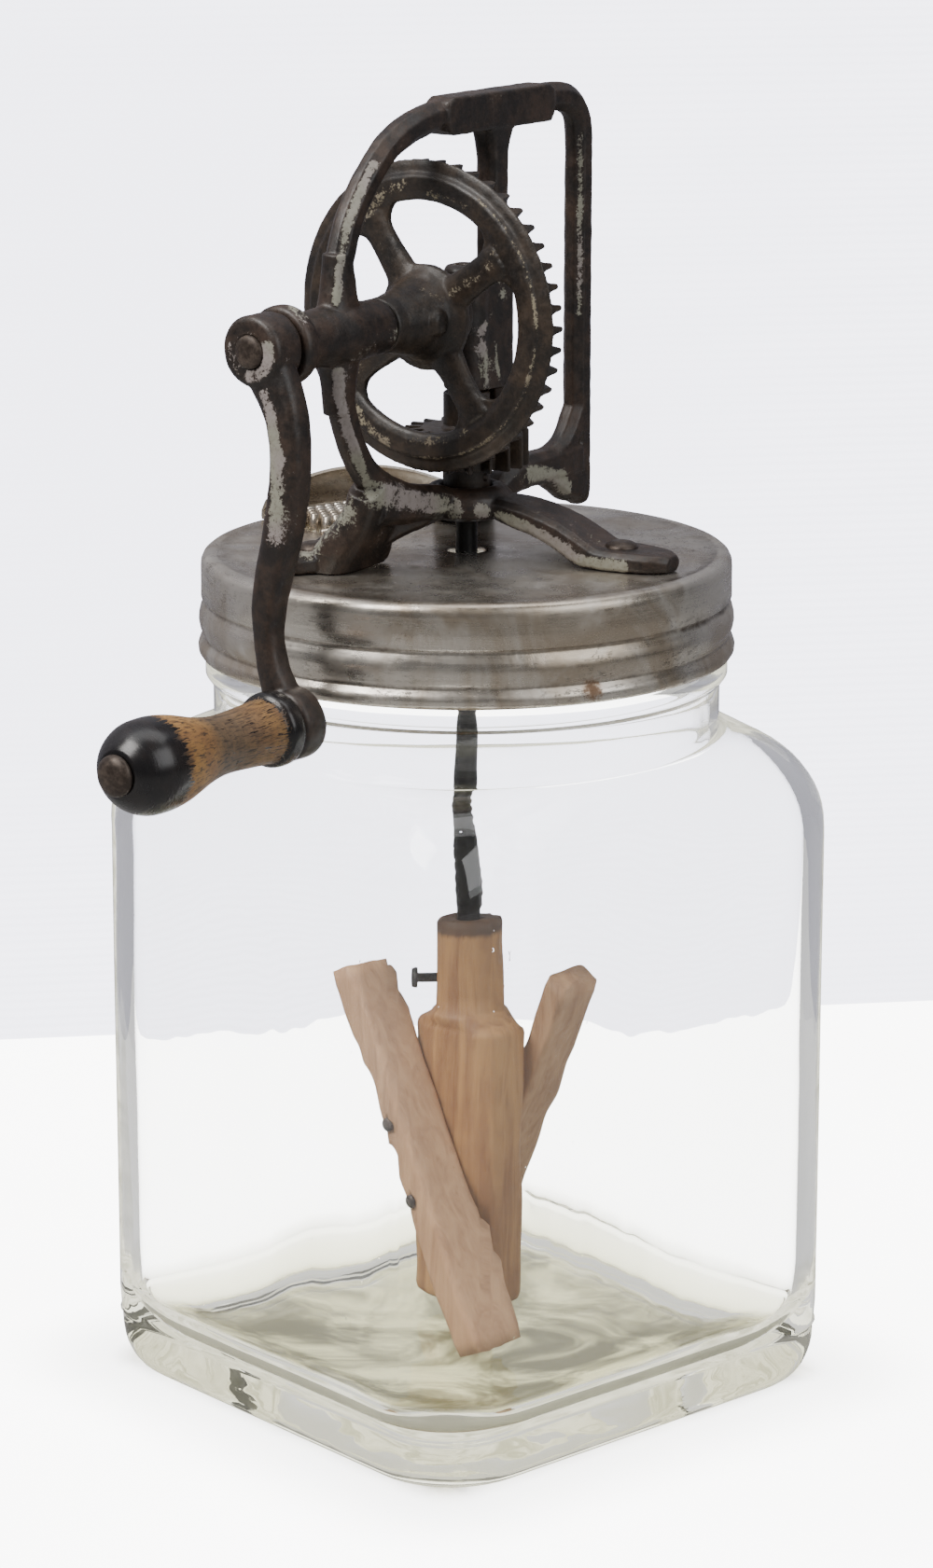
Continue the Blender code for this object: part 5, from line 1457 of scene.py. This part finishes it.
@dataclass
class FaceGears:
    """The wheel on the crank, toothed on its back, and the upright pinion on the rod."""

    wheel_teeth: int = 46
    pinion_teeth: int = 18
    tips: tuple[float, float] = (11.7, 15.3)
    opening: float = 28.3

    def openings(self, place: np.ndarray) -> Solid:
        """Give the four rounded openings between the spokes.

        Args:
            place: 4 by 4 matrix of the wheel's axis.

        Returns:
            The cutter.
        """
        inner, outer, spoke, rounding = 12.4, self.opening, 7.6, 4.6
        cutter = Solid()
        high = math.pi / 4 - math.asin((spoke / 2 + rounding) / (outer - rounding))
        low = math.pi / 4 - math.asin((spoke / 2 + rounding) / (inner + rounding))
        square = 0.75 * math.pi
        corners = [(outer - rounding, high, high, square), (inner + rounding, low, square, math.pi + low),
                   (inner + rounding, -low, math.pi - low, TAU - square), (outer - rounding, -high, TAU - square, TAU - high)]
        for index in range(4):
            turn = math.radians(80 + 90 * index)
            points = []
            for radius, angle, start, end in corners:
                for step in range(9):
                    swing = start + (end - start) * step / 8
                    points.append((radius * math.cos(angle) + rounding * math.cos(swing),
                                   radius * math.sin(angle) + rounding * math.sin(swing)))
            for step in range(1, 8):
                angle = -high + 2 * high * step / 8
                points.append((outer * math.cos(angle), outer * math.sin(angle)))
            flat = np.array(points)
            c, s = math.cos(turn), math.sin(turn)
            flat = np.stack([flat[:, 0] * c - flat[:, 1] * s, flat[:, 0] * s + flat[:, 1] * c], 1)
            cutter.prism(flat, 5, 30, place)
        return cutter

    def casting(self) -> bpy.types.Object:
        """Cast the wheel without its teeth.

        Returns:
            The object.
        """
        web = Solid().lathe(np.array([(4.3, 15.7), (4.3, 17.5), (29.5, 17.3), (29.5, 15.7)]), 128, CRANK_PLACE, True)
        plate = cut(web.object("wheel_casting"), self.openings(CRANK_PLACE))
        rest = Solid()
        rest.lathe(np.array([(4.3, 8.4), (4.3, 34.9), (6.3, 34.9), (6.6, 34.6), (6.9, 31.4), (7.7, 27.2),
                             (8.7, 22.6), (9.8, 19.8), (11.4, 18.0), (12.8, 17.1), (12.6, 15.2), (8.6, 14.2),
                             (8.6, 8.4)]), 96, CRANK_PLACE, True)
        rest.lathe(np.array([(28.1, 15.7), (27.9, 16.9), (28.5, 17.7), (30.2, 18.25), (32.4, 18.3), (33.7, 18.2),
                             (34.2, 17.8), (34.5, 17.1), (36.4, 16.7), (37.5, 16.3), (37.7, 15.9), (37.6, 15.7)]),
                   184, CRANK_PLACE, True)
        for angle in (35, 125, 215, 305):
            turn = math.radians(angle)
            direction = crank_point(math.cos(turn), math.sin(turn), 0) - crank_point(0, 0, 0)
            steps = curve([(8, 10.4, 5.2, 16.6), (12, 8.9, 4.6, 16.3), (20, 7.8, 3.3, 16.6), (28, 8.9, 2.6, 16.9)], 4)
            route = np.array([crank_point(0, 0, out) + direction * r for r, _, _, out in steps])
            rest.sweep(route, [oval(d, w, 2.5, 20) for _, w, d, _ in steps], (0, 1, 0))
        for side in (-1, 1):
            lump = [(3.4, 5.0), (3.2, 8.6), (2.4, 9.6), (0.4, 10.1)]
            rest.lathe(np.array(lump), 28, place_at(*crank_point(0, 0, 22.0), (side, 0, 0)))
        more = rest.object("rest")
        with bpy.context.temp_override(active_object=plate, object=plate, selected_editable_objects=[plate, more]):
            bpy.ops.object.join()
        return fuse(plate, 0.38, 2)

    def marks(self) -> list[Wear]:
        """List where the paint is left on the wheel, as (side, up, out) lines.

        Returns:
            The marks.
        """
        crown = [math.radians(a) for a in range(-96, 62, 6)]
        return [
            Wear(0.62, 0.75, tuple((34.1 * math.cos(a), 34.1 * math.sin(a), 17.9) for a in crown)),
            Wear(0.72, 1.7, ((-4.6, 31.4, 18.3), (-10.8, 29.4, 18.3), (-13.8, 26.0, 18.0), (-17.0, 22.0, 17.8))),
            Wear(0.75, 1.5, ((2.2, 29.4, 18.2), (8.5, 29.0, 18.2), (13.4, 27.4, 18.1))),
            Wear(0.50, 1.6, ((-12.5, 17.7, 17.4), (-10.2, 13.9, 17.6), (-7.4, 8.4, 18.0))),
            Wear(0.62, 1.6, ((9.9, 7.0, 17.9), (16.6, 11.3, 17.8), (20.4, 14.2, 17.6), (21.6, 19.0, 17.6))),
            Wear(0.60, 1.7, ((-4.0, -30.0, 18.2), (2.0, -29.9, 18.2), (9.8, -28.0, 18.2), (13.0, -26.0, 18.0))),
            Wear(0.80, 1.8, ((-19.4, -24.0, 18.0), (-16.2, -28.0, 18.2), (-10.4, -31.2, 18.2))),
            Wear(0.50, 1.5, ((5.0, -10.7, 17.8), (6.8, -14.9, 17.4), (10.1, -21.6, 17.2))),
            Wear(0.60, 1.8, ((9.0, -2.0, 20.0), (9.6, -4.4, 18.6))),
            Wear(0.45, 2.2, ((-14.1, -10.6, 17.4), (-19.6, -14.6, 17.4))),
            Wear(0.50, 1.8, ((1.9, 8.4, 24.0), (6.0, 6.8, 22.4), (8.8, 4.6, 20.0))),
            Wear(0.45, 1.4, ((5.8, 3.4, 31.0), (6.6, 0.4, 30.0))),
        ]

    def wheel(self, maker: Maker) -> None:
        """Build the drive wheel.

        Args:
            maker: finishes and placing.
        """
        wheel = self.casting()
        bore = Solid().lathe(np.array([(4.27, 2), (4.27, 38)]), 48, CRANK_PLACE)
        pin = place_at(*crank_point(0, 0, 22.6), (1, 0, 0))
        bore.lathe(np.array([(1.5, -8.7), (1.5, 8.7)]), 24, pin)
        cut(wheel, bore)
        dent(wheel, 0.10, 0.4, 9.0)
        add_wear(wheel, 14, 0.45, self.marks(), -0.10)
        maker.piece(wheel, Body.CRANK, Slot.GEAR, "drive_wheel")
        teeth = Solid()
        for tooth in range(self.wheel_teeth):
            angle = -math.pi / 2 + math.pi / self.wheel_teeth + TAU * tooth / self.wheel_teeth
            rings = []
            for radius in (37.3, 32.8):
                half = 0.31 * math.pi * radius / self.wheel_teeth
                corners = [(16.0, -half - 0.75), (14.4, -half - 0.18), (12.9, 0.02 - half), (12.1, 0.18 - half),
                           (self.tips[0], 0.50 - half), (self.tips[0], half - 0.50), (12.1, half - 0.18),
                           (12.9, half - 0.02), (14.4, half + 0.18), (16.0, half + 0.75)]
                rings.append(moved(np.array([(radius * math.cos(angle + across / radius),
                                              radius * math.sin(angle + across / radius), out)
                                             for out, across in corners]), CRANK_PLACE))
            teeth.loft(rings)
        made = bevel(teeth.object("wheel_teeth"), 0.14)
        add_wear(made, 2, 0.6, [], -0.1)
        maker.piece(made, Body.CRANK, Slot.GEAR)
        pins = Solid().lathe(np.array([(0.8, -8.5), (1.2, -8.2), (1.2, 8.2), (0.8, 8.5)]), 24, pin)
        maker.piece(pins.object("wheel_cross_pin"), Body.CRANK, Slot.PIN, "wheel_pin")

    def pinion(self, maker: Maker) -> None:
        """Build the pinion with its pin and washer.

        Args:
            maker: finishes and placing.
        """
        base = place_at(0, 0, CRANK_Z)
        body = [(3.05, -43.7), (5.4, -43.7), (5.8, -43.3), (5.8, -38.6), (6.4, -38.1), (11.3, -38.1), (11.4, -37.7),
                (11.4, -29.4), (11.1, -28.9), (6.4, -28.8), (5.7, -28.2), (5.7, -20.5), (5.2, -20.1), (3.05, -20.1)]
        solid = Solid().lathe(np.array(body), 108, base, True)
        low, high = -38.1, -28.9
        for tooth in range(self.pinion_teeth):
            angle = -math.pi / 2 + TAU * tooth / self.pinion_teeth
            rings = []
            for height, inset in ((low, 0.35), (low + 0.4, 0.0), (high - 0.4, 0.0), (high, 0.35)):
                corners = [(11.1, -1.05), (14.0, -0.60), (15.1 - inset, -0.40), (15.3 - inset, -0.2), (15.3 - inset, 0.2),
                           (15.1 - inset, 0.40), (14.0, 0.60), (11.1, 1.05)]
                rings.append(moved(np.array([(radius * math.cos(angle) - across * math.sin(angle),
                                              radius * math.sin(angle) + across * math.cos(angle), height)
                                             for radius, across in corners]), base))
            solid.loft(rings)
        made = bevel(solid.object("pinion_look"), 0.12)
        add_wear(made, 3, 0.6, [], -0.1)
        maker.piece(made, Body.DASHER, Slot.GEAR, "pinion")
        level = CRANK_Z - 40.87
        pin = Solid().lathe(np.array([(1.0, -5.9), (1.0, 5.9)]), 20, place_at(0, 0, level, (1, 0, 0)))
        maker.piece(pin.object("pinion_cross_pin"), Body.DASHER, Slot.PIN, "pinion_pin")
        washer = Solid().lathe(np.array([(3.05, -44.8), (6.2, -44.8), (6.2, -44.0), (3.05, -44.0)]), 48, base, True)
        maker.piece(washer.object("thrust_washer_look"), Body.DASHER, Slot.PIN, "thrust_washer")

    def build(self, maker: Maker) -> None:
        """Build both gears.

        Args:
            maker: finishes and placing.
        """
        self.wheel(maker)
        self.pinion(maker)


@dataclass
class Crank:
    """Shaft, collar, S shaped arm, turned grip and its spindle."""

    eye: tuple[float, float] = (7.6, -87.0)
    path: list[tuple[float, float, float]] = field(default_factory=lambda: [
        (0.4, 2, 13.0), (2.6, -4.5, 12.0), (6.2, -11.6, 10.4), (8.1, -19, 9.4), (8.2, -28, 9.1), (7.1, -36, 9.1),
        (5.4, -44, 9.0), (3.4, -51.5, 8.6), (1.9, -58, 7.8), (1.3, -63, 6.9), (1.4, -67, 6.3), (2.6, -74, 6.6),
        (4.8, -80, 8.2), (7.2, -86, 9.4)])

    def shaft(self, maker: Maker) -> None:
        """Build the shaft and its collar.

        Args:
            maker: finishes and placing.
        """
        profile = [(3.3, 8.6), (3.95, 9.2), (3.95, 82.2), (3.9, 82.6), (3.4, 83.1), (1.8, 83.3), (0.3, 83.35)]
        shaft = Solid().lathe(np.array(profile), 48, CRANK_PLACE).object("crank_shaft_look")
        maker.piece(shaft, Body.CRANK, Slot.PIN, "crank_shaft")
        collar = curve([(4.3, 67.4), (8.2, 67.4), (9.2, 68.2), (9.4, 69.7), (9.2, 71.3), (8.2, 72.1), (4.3, 72.1)], 3)
        made = Solid().lathe(collar, 64, CRANK_PLACE, True).object("collar_look")
        add_wear(made, 3, 0.5, [Wear(0.7, 2.2, ((2.9, 8.9, 69.7), (6.4, 7.0, 69.7)))], -0.1)
        maker.piece(made, Body.CRANK, Slot.FRAME, "shaft_collar")

    def arm(self, maker: Maker) -> None:
        """Build the arm with its hub and eye.

        Args:
            maker: finishes and placing.
        """
        steps = curve(self.path, 5)
        depth = np.interp(steps[:, 1], [-86, -70, -40, -12, 2], [7.4, 6.8, 7.6, 8.2, 8.6])
        middle = np.interp(steps[:, 1], [-86, -20, 2], [77.9, 77.9, 77.6])
        route = np.array([crank_point(w, z, t) for (w, z, _), t in zip(steps, middle)])
        solid = Solid().sweep(route, [oval(d, w, 3.2, 28) for (_, _, w), d in zip(steps, depth)], (0, 1, 0))
        solid.lathe(np.array([(7.6, 72.6), (8.3, 73.4), (8.4, 80.8), (8.0, 81.8), (7.0, 82.2)]), 64, CRANK_PLACE)
        eye_place = CRANK_PLACE.copy()
        eye_place[:3, 3] = crank_point(*self.eye, 0)
        solid.lathe(np.array([(7.2, 73.9), (8.5, 75.0), (8.7, 78), (8.5, 81.0), (7.8, 81.9)]), 64, eye_place)
        arm = fuse(solid.object("crank_arm_look"), 0.45, 3)
        bores = Solid().lathe(np.array([(4.1, 70), (4.1, 86)]), 48, CRANK_PLACE)
        bores.lathe(np.array([(2.7, 70), (2.7, 86)]), 32, eye_place)
        cut(arm, bores)
        dent(arm, 0.14, 0.3, 1.0)
        marks = [
            Wear(0.95, 1.7, ((5.6, 1.6, 82.2), (5.6, -1.4, 82.2), (4.6, -4.0, 82.2), (2.2, -5.7, 82.2), (-0.4, -6.0, 82.2))),
            Wear(0.70, 1.0, ((-5.8, 1.0, 82.2), (-5.6, -1.8, 82.2), (-3.6, -5.0, 82.2))),
            Wear(0.50, 1.4, ((8.3, -1.5, 78.4), (7.5, -4.9, 80.6))),
            Wear(1.00, 2.2, ((4.1, -9.6, 82.0), (5.6, -12.8, 81.9), (6.2, -16.4, 81.9), (6.6, -20.0, 81.9), (7.4, -24.0, 81.8))),
            Wear(0.90, 2.6, ((7.0, -24.0, 81.8), (7.2, -30.0, 81.8), (7.0, -36.0, 81.7), (6.0, -43.0, 81.6))),
            Wear(0.30, 2.0, ((10.6, -22.0, 80.0), (10.4, -34.0, 80.0), (8.6, -46.0, 80.0))),
            Wear(-0.6, 14.0, ((3.0, -64.0, 80.0), (8.0, -84.0, 80.0))),
        ]
        add_wear(arm, 14, 0.55, marks, -0.08)
        maker.piece(arm, Body.CRANK, Slot.FRAME, "crank_arm")

    def grip(self, maker: Maker) -> None:
        """Build the grip and its spindle.

        Args:
            maker: finishes and placing.
        """
        place = CRANK_PLACE.copy()
        place[:3, 3] = crank_point(*self.eye, 0)
        start = 82.6
        outside = curve([(8.0, 0.0), (8.7, 0.4), (8.95, 1.4), (8.9, 3.6), (8.5, 4.6), (7.7, 5.3), (7.55, 6.6), (7.45, 9),
                         (7.2, 13), (6.95, 18), (6.95, 22), (7.4, 26), (8.3, 30.5), (9.4, 34.5), (10.4, 38.5), (11.0, 42.5),
                         (11.1, 45.5), (10.9, 48.5), (10.1, 51), (8.7, 53.4), (7.0, 55.2), (5.6, 56.2)], 4)
        profile = [(2.7, 0.0)] + [tuple(p) for p in outside] + [(2.7, 56.4)]
        grip = Solid().lathe(np.array([(r, start + s) for r, s in profile]), 96, place, True).object("handle_grip_look")
        places, _ = vertex_arrays(grip.data)
        along = -places[:, 1] - start
        bare = np.interp(along, [0, 3.5, 4.5, 6, 12, 24, 32, 38, 41, 44, 47, 50, 57],
                         [-0.3, -0.1, 0.25, 0.62, 0.62, 0.72, 0.85, 0.95, 0.80, 0.45, 0.05, -0.3, -0.6])
        gold = np.interp(along, [0, 5, 9, 14, 20, 28, 33, 47, 57], [0.2, 0.5, 0.75, 0.45, 0.12, 0.10, 0.85, 1.0, 1.0])
        set_attribute(grip, "bare", bare)
        set_attribute(grip, "gold", gold)
        maker.piece(grip, Body.GRIP, Slot.GRIP, "handle_grip")
        head = start + 56.6
        profile = [(2.4, 74.0), (2.4, head), (4.7, head), (4.9, head + 0.3), (4.8, head + 0.9), (4.4, head + 1.5),
                   (3.7, head + 2.0), (2.7, head + 2.4), (1.5, head + 2.65), (0.3, head + 2.7)]
        spindle = Solid().lathe(np.array(profile), 64, place).object("handle_spindle_look")
        maker.piece(spindle, Body.CRANK, Slot.PIN, "handle_spindle")

    def build(self, maker: Maker) -> None:
        """Build the crank and its handle.

        Args:
            maker: finishes and placing.
        """
        self.shaft(maker)
        self.arm(maker)
        self.grip(maker)


@dataclass
class Dasher:
    """Rod, wooden hub, two slanted blades, their nails and the set screw."""

    turn: float = 262.0
    top: float = -151.0
    face: float = 7.8
    aside: float = 1.2
    tilt: float = 26.0
    middle: float = -212.0

    def frame(self) -> np.ndarray:
        """Give the dasher's own frame.

        Returns:
            4 by 4 matrix in millimetres.
        """
        return np.array(Matrix.Translation((0, 0, CRANK_Z)) @ Matrix.Rotation(math.radians(self.turn), 4, "Z"))

    def rod(self, maker: Maker) -> None:
        """Build the rod.

        Args:
            maker: finishes and placing.
        """
        profile = [(1.9, -190.3), (2.7, -189.5), (2.75, 8.9), (2.1, 9.6), (0.3, 9.7)]
        rod = Solid().lathe(np.array(profile), 40, place_at(0, 0, CRANK_Z)).object("dasher_rod_look")
        maker.piece(rod, Body.DASHER, Slot.ROD, "dasher_rod")

    def hub(self, maker: Maker) -> None:
        """Build the hub: a turned neck on a flat sided body.

        Args:
            maker: finishes and placing.
        """
        place = self.frame()
        top = self.top
        rings = []
        sides = 96
        angles = (np.arange(sides) + 0.5) / sides * TAU
        for radius, height in ((3.05, top - 0.3), (5.4, top - 0.1), (6.6, top - 0.6), (7.0, top - 1.8), (7.0, top - 6), (7.05, top - 20),
                               (7.2, top - 24.4), (8.2, top - 25.4), (8.7, top - 26.3)):
            rings.append(np.stack([radius * np.cos(angles), radius * np.sin(angles), np.full(sides, height)], 1))
        for width, height in ((23.8, top - 28.4), (25.2, top - 29.3), (25.6, top - 30.4), (25.6, top - 60), (25.6, top - 99.6),
                              (24.8, top - 100.8), (22.0, top - 101.6)):
            flat = oval(15.0 * width / 25.6, width, 3.6, sides)
            spread = np.column_stack([flat, np.full(sides, height)])
            turned = np.arctan2(spread[:, 1], spread[:, 0])
            order = np.argsort(turned % TAU)
            rings.append(spread[order])
        rings = [moved(ring, place) for ring in rings]
        hub = Solid().loft(rings).object("dasher_hub_look")
        bores = Solid().lathe(np.array([(3.05, top - 40), (3.05, top + 2)]), 40, place_at(0, 0, CRANK_Z))
        angle = math.radians(217.0)
        screw = place_at(0, 0, CRANK_Z + top - 17.0, (math.cos(angle), math.sin(angle), 0))
        bores.lathe(np.array([(1.5, 2), (1.5, 12)]), 24, screw)
        cut(hub, bores)
        places, _ = vertex_arrays(hub.data)
        stain = np.exp(-((places[:, 2] - CRANK_Z - top) / 4.5) ** 2) * 1.3
        set_attribute(hub, "stain", stain)
        maker.piece(hub, Body.DASHER, Slot.HUB, "dasher_hub")
        made = Solid().lathe(np.array([(1.2, 3.1), (1.2, 11.6), (2.6, 11.7), (2.7, 12.2), (2.4, 13.0), (0.4, 13.1)]), 32, screw)
        maker.piece(made.object("set_screw_look"), Body.DASHER, Slot.ROD, "set_screw")

    def blade(self, maker: Maker, name: str, side: float) -> None:
        """Build one blade and its nails.

        Args:
            maker: finishes and placing.
            name: front or back.
            side: 0 or 180 degrees about the rod.
        """
        place = self.frame() @ np.array(Matrix.Rotation(math.radians(side), 4, "Z") @ Matrix.Translation((0, 0, self.middle)))
        lean = place @ np.array(Matrix.Rotation(math.radians(self.tilt), 4, "X"))
        rings = []
        for height in np.linspace(-50, 50, 31):
            shrink = 0.94 if abs(height) > 49.5 else 1.0
            flat = oval(15.0 * shrink, 7.7 * shrink, 9.0, 48) + (self.face + 7.5, self.aside if side < 90 else 0.0)
            rings.append(np.column_stack([flat, np.full(48, height)]))
        solid = Solid().loft([moved(r, lean) for r in rings])
        blade = solid.object(f"blade_{name}_look")
        holes = Solid()
        nails = []
        for step in (-10.0, 10.0):
            offset = np.array(Matrix.Rotation(math.radians(self.tilt), 3, "X") @ Vector((0, 0, step)))
            spot = place @ np.array(Matrix.Translation(Vector(offset)) @ Matrix.Rotation(math.pi / 2, 4, "Y"))
            holes.lathe(np.array([(1.15, 2), (1.15, 30)]), 16, spot)
            nails.append(spot)
        cut(blade, holes)
        dent(blade, 0.25, 0.08, side)
        set_attribute(blade, "stain", np.zeros(len(blade.data.vertices)))
        maker.piece(blade, Body.DASHER, Slot.BLADE, f"blade_{name}")
        for number, spot in enumerate(nails, 1):
            nail = Solid().lathe(np.array([(0.4, 3.5), (0.9, 4.3), (0.9, 23.0), (1.75, 23.1), (1.7, 23.6), (0.3, 23.8)]), 20, spot)
            maker.piece(nail.object(f"blade_nail_{name}_{number}_look"), Body.DASHER, Slot.PIN, f"blade_nail_{name}_{number}")

    def build(self, maker: Maker) -> None:
        """Build the dasher.

        Args:
            maker: finishes and placing.
        """
        self.rod(maker)
        self.hub(maker)
        self.blade(maker, "front", 0.0)
        self.blade(maker, "back", 180.0)


@dataclass
class Stage:
    """Floor, backdrop, lights and camera."""

    azimuth: float = 37.1
    distance: float = 1129.3
    height: float = 444.9
    pitch: float = 14.32

    def toward(self) -> tuple[np.ndarray, np.ndarray]:
        """Give the view's horizontal direction and its right hand direction.

        Returns:
            Two unit vectors.
        """
        turn = math.radians(self.azimuth)
        ahead = np.array([-math.sin(turn), math.cos(turn), 0.0])
        return ahead, np.array([math.cos(turn), math.sin(turn), 0.0])

    def light(self, name: str, place: np.ndarray, aim: np.ndarray, size: tuple[float, float], power: float,
              color: tuple[float, float, float]) -> None:
        """Add a rectangular soft light.

        Args:
            name: its name.
            place: where it is, in millimetres.
            aim: what it points at.
            size: width and height in millimetres.
            power: watts.
            color: its colour.
        """
        data = bpy.data.lights.new(name, "AREA")
        data.shape = "RECTANGLE"
        data.size, data.size_y = size[0] * MM, size[1] * MM
        data.energy = power
        data.color = color
        lamp = bpy.data.objects.new(name, data)
        bpy.context.scene.collection.objects.link(lamp)
        lamp.location = place * MM
        lamp.rotation_euler = Vector(aim - place).to_track_quat("-Z", "Y").to_euler()

    def build(self) -> None:
        """Build the stage."""
        ahead, right = self.toward()
        up = np.array([0, 0, 1.0])
        behind = ahead * 292.0
        slant = right * math.cos(math.radians(8.0)) + ahead * math.sin(math.radians(8.0))
        floor = Solid().add(np.array([ahead * 2600 - right * 3000, ahead * 2600 + right * 3000,
                                      -ahead * 2600 + right * 3000, -ahead * 2600 - right * 3000]),
                            [(0, 3, 2, 1)]).object("floor")
        # The floor carries a painted shadow around and under the jar.
        floor.data.materials.append(Paper("floor_paper", (1.0, 0.995, 0.985), 9.5, shade=0.38).build())
        wall = Solid().add(np.array([behind - slant * 3000, behind + slant * 3000, behind + slant * 3000 + up * 2400,
                                     behind - slant * 3000 + up * 2400]), [(0, 1, 2, 3)]).object("backdrop")
        # The backdrop carries painted shade bands for its ridges.
        wall.data.materials.append(Paper("wall_paper", (0.885, 0.885, 1.0), 5.4, rib_shading=0.115).build())
        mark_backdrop(floor, wall)
        target = np.array([0, 0, 130.0])
        self.light("key", -ahead * 500 - right * 750 + up * 1150, target, (700, 700), 21.0, (1.0, 0.97, 0.94))
        self.light("fill", -ahead * 700 + right * 900 + up * 800, target, (900, 900), 7.0, (0.98, 0.99, 1.0))
        self.light("over", ahead * 60 + up * 1300, target, (1500, 700), 8.0, (1.0, 1.0, 1.0))
        world = bpy.data.worlds.new("studio")
        world.use_nodes = True
        tree = world.node_tree
        dim = tree.nodes["Background"]
        dim.inputs["Color"].default_value = (0.95, 0.96, 1.0, 1.0)
        dim.inputs["Strength"].default_value = 0.15
        open_side = tree.nodes.new("ShaderNodeBackground")
        open_side.inputs["Color"].default_value = (0.90, 0.90, 1.0, 1.0)
        open_side.inputs["Strength"].default_value = 5.0
        mix = tree.nodes.new("ShaderNodeMixShader")
        path = tree.nodes.new("ShaderNodeLightPath")
        tree.links.new(path.outputs["Is Camera Ray"], mix.inputs[0])
        tree.links.new(dim.outputs[0], mix.inputs[1])
        tree.links.new(open_side.outputs[0], mix.inputs[2])
        tree.links.new(mix.outputs[0], tree.nodes["World Output"].inputs["Surface"])
        bpy.context.scene.world = world
        data = bpy.data.cameras.new("camera")
        data.sensor_fit = "VERTICAL"
        data.sensor_height = 24.0
        data.lens = 5041.0 / 1681.0 * 24.0
        data.shift_y = -16.5 / 1681.0
        data.clip_end = 50.0
        camera = bpy.data.objects.new("camera", data)
        bpy.context.scene.collection.objects.link(camera)
        camera.location = (-ahead * self.distance + up * self.height) * MM
        down = math.radians(self.pitch)
        look = ahead * math.cos(down) - up * math.sin(down)
        camera.rotation_euler = Vector(look).to_track_quat("-Z", "Y").to_euler()
        bpy.context.scene.camera = camera


def as_lists(bounds: object) -> object:
    """Turn bounds into plain lists.

    Args:
        bounds: vectors, tuples or dictionaries of them.

    Returns:
        The same in lists.
    """
    if isinstance(bounds, dict):
        return {key: as_lists(value) for key, value in bounds.items()}
    if hasattr(bounds, "__len__") and not isinstance(bounds, str):
        return [as_lists(value) for value in bounds]
    return bounds


def main() -> None:
    """Build the churn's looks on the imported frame."""
    logging.basicConfig(level=logging.INFO)
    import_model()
    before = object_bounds()
    maker = Maker()
    GlassJar().build(maker)
    ScrewLid().build(maker)
    GearFrame().build(maker)
    FaceGears().build(maker)
    Crank().build(maker)
    Dasher().build(maker)
    Stage().build()
    {"frame": as_lists(before), "visual": as_lists(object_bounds())}
    LOG.info("built")


if __name__ == "__main__":
    main()
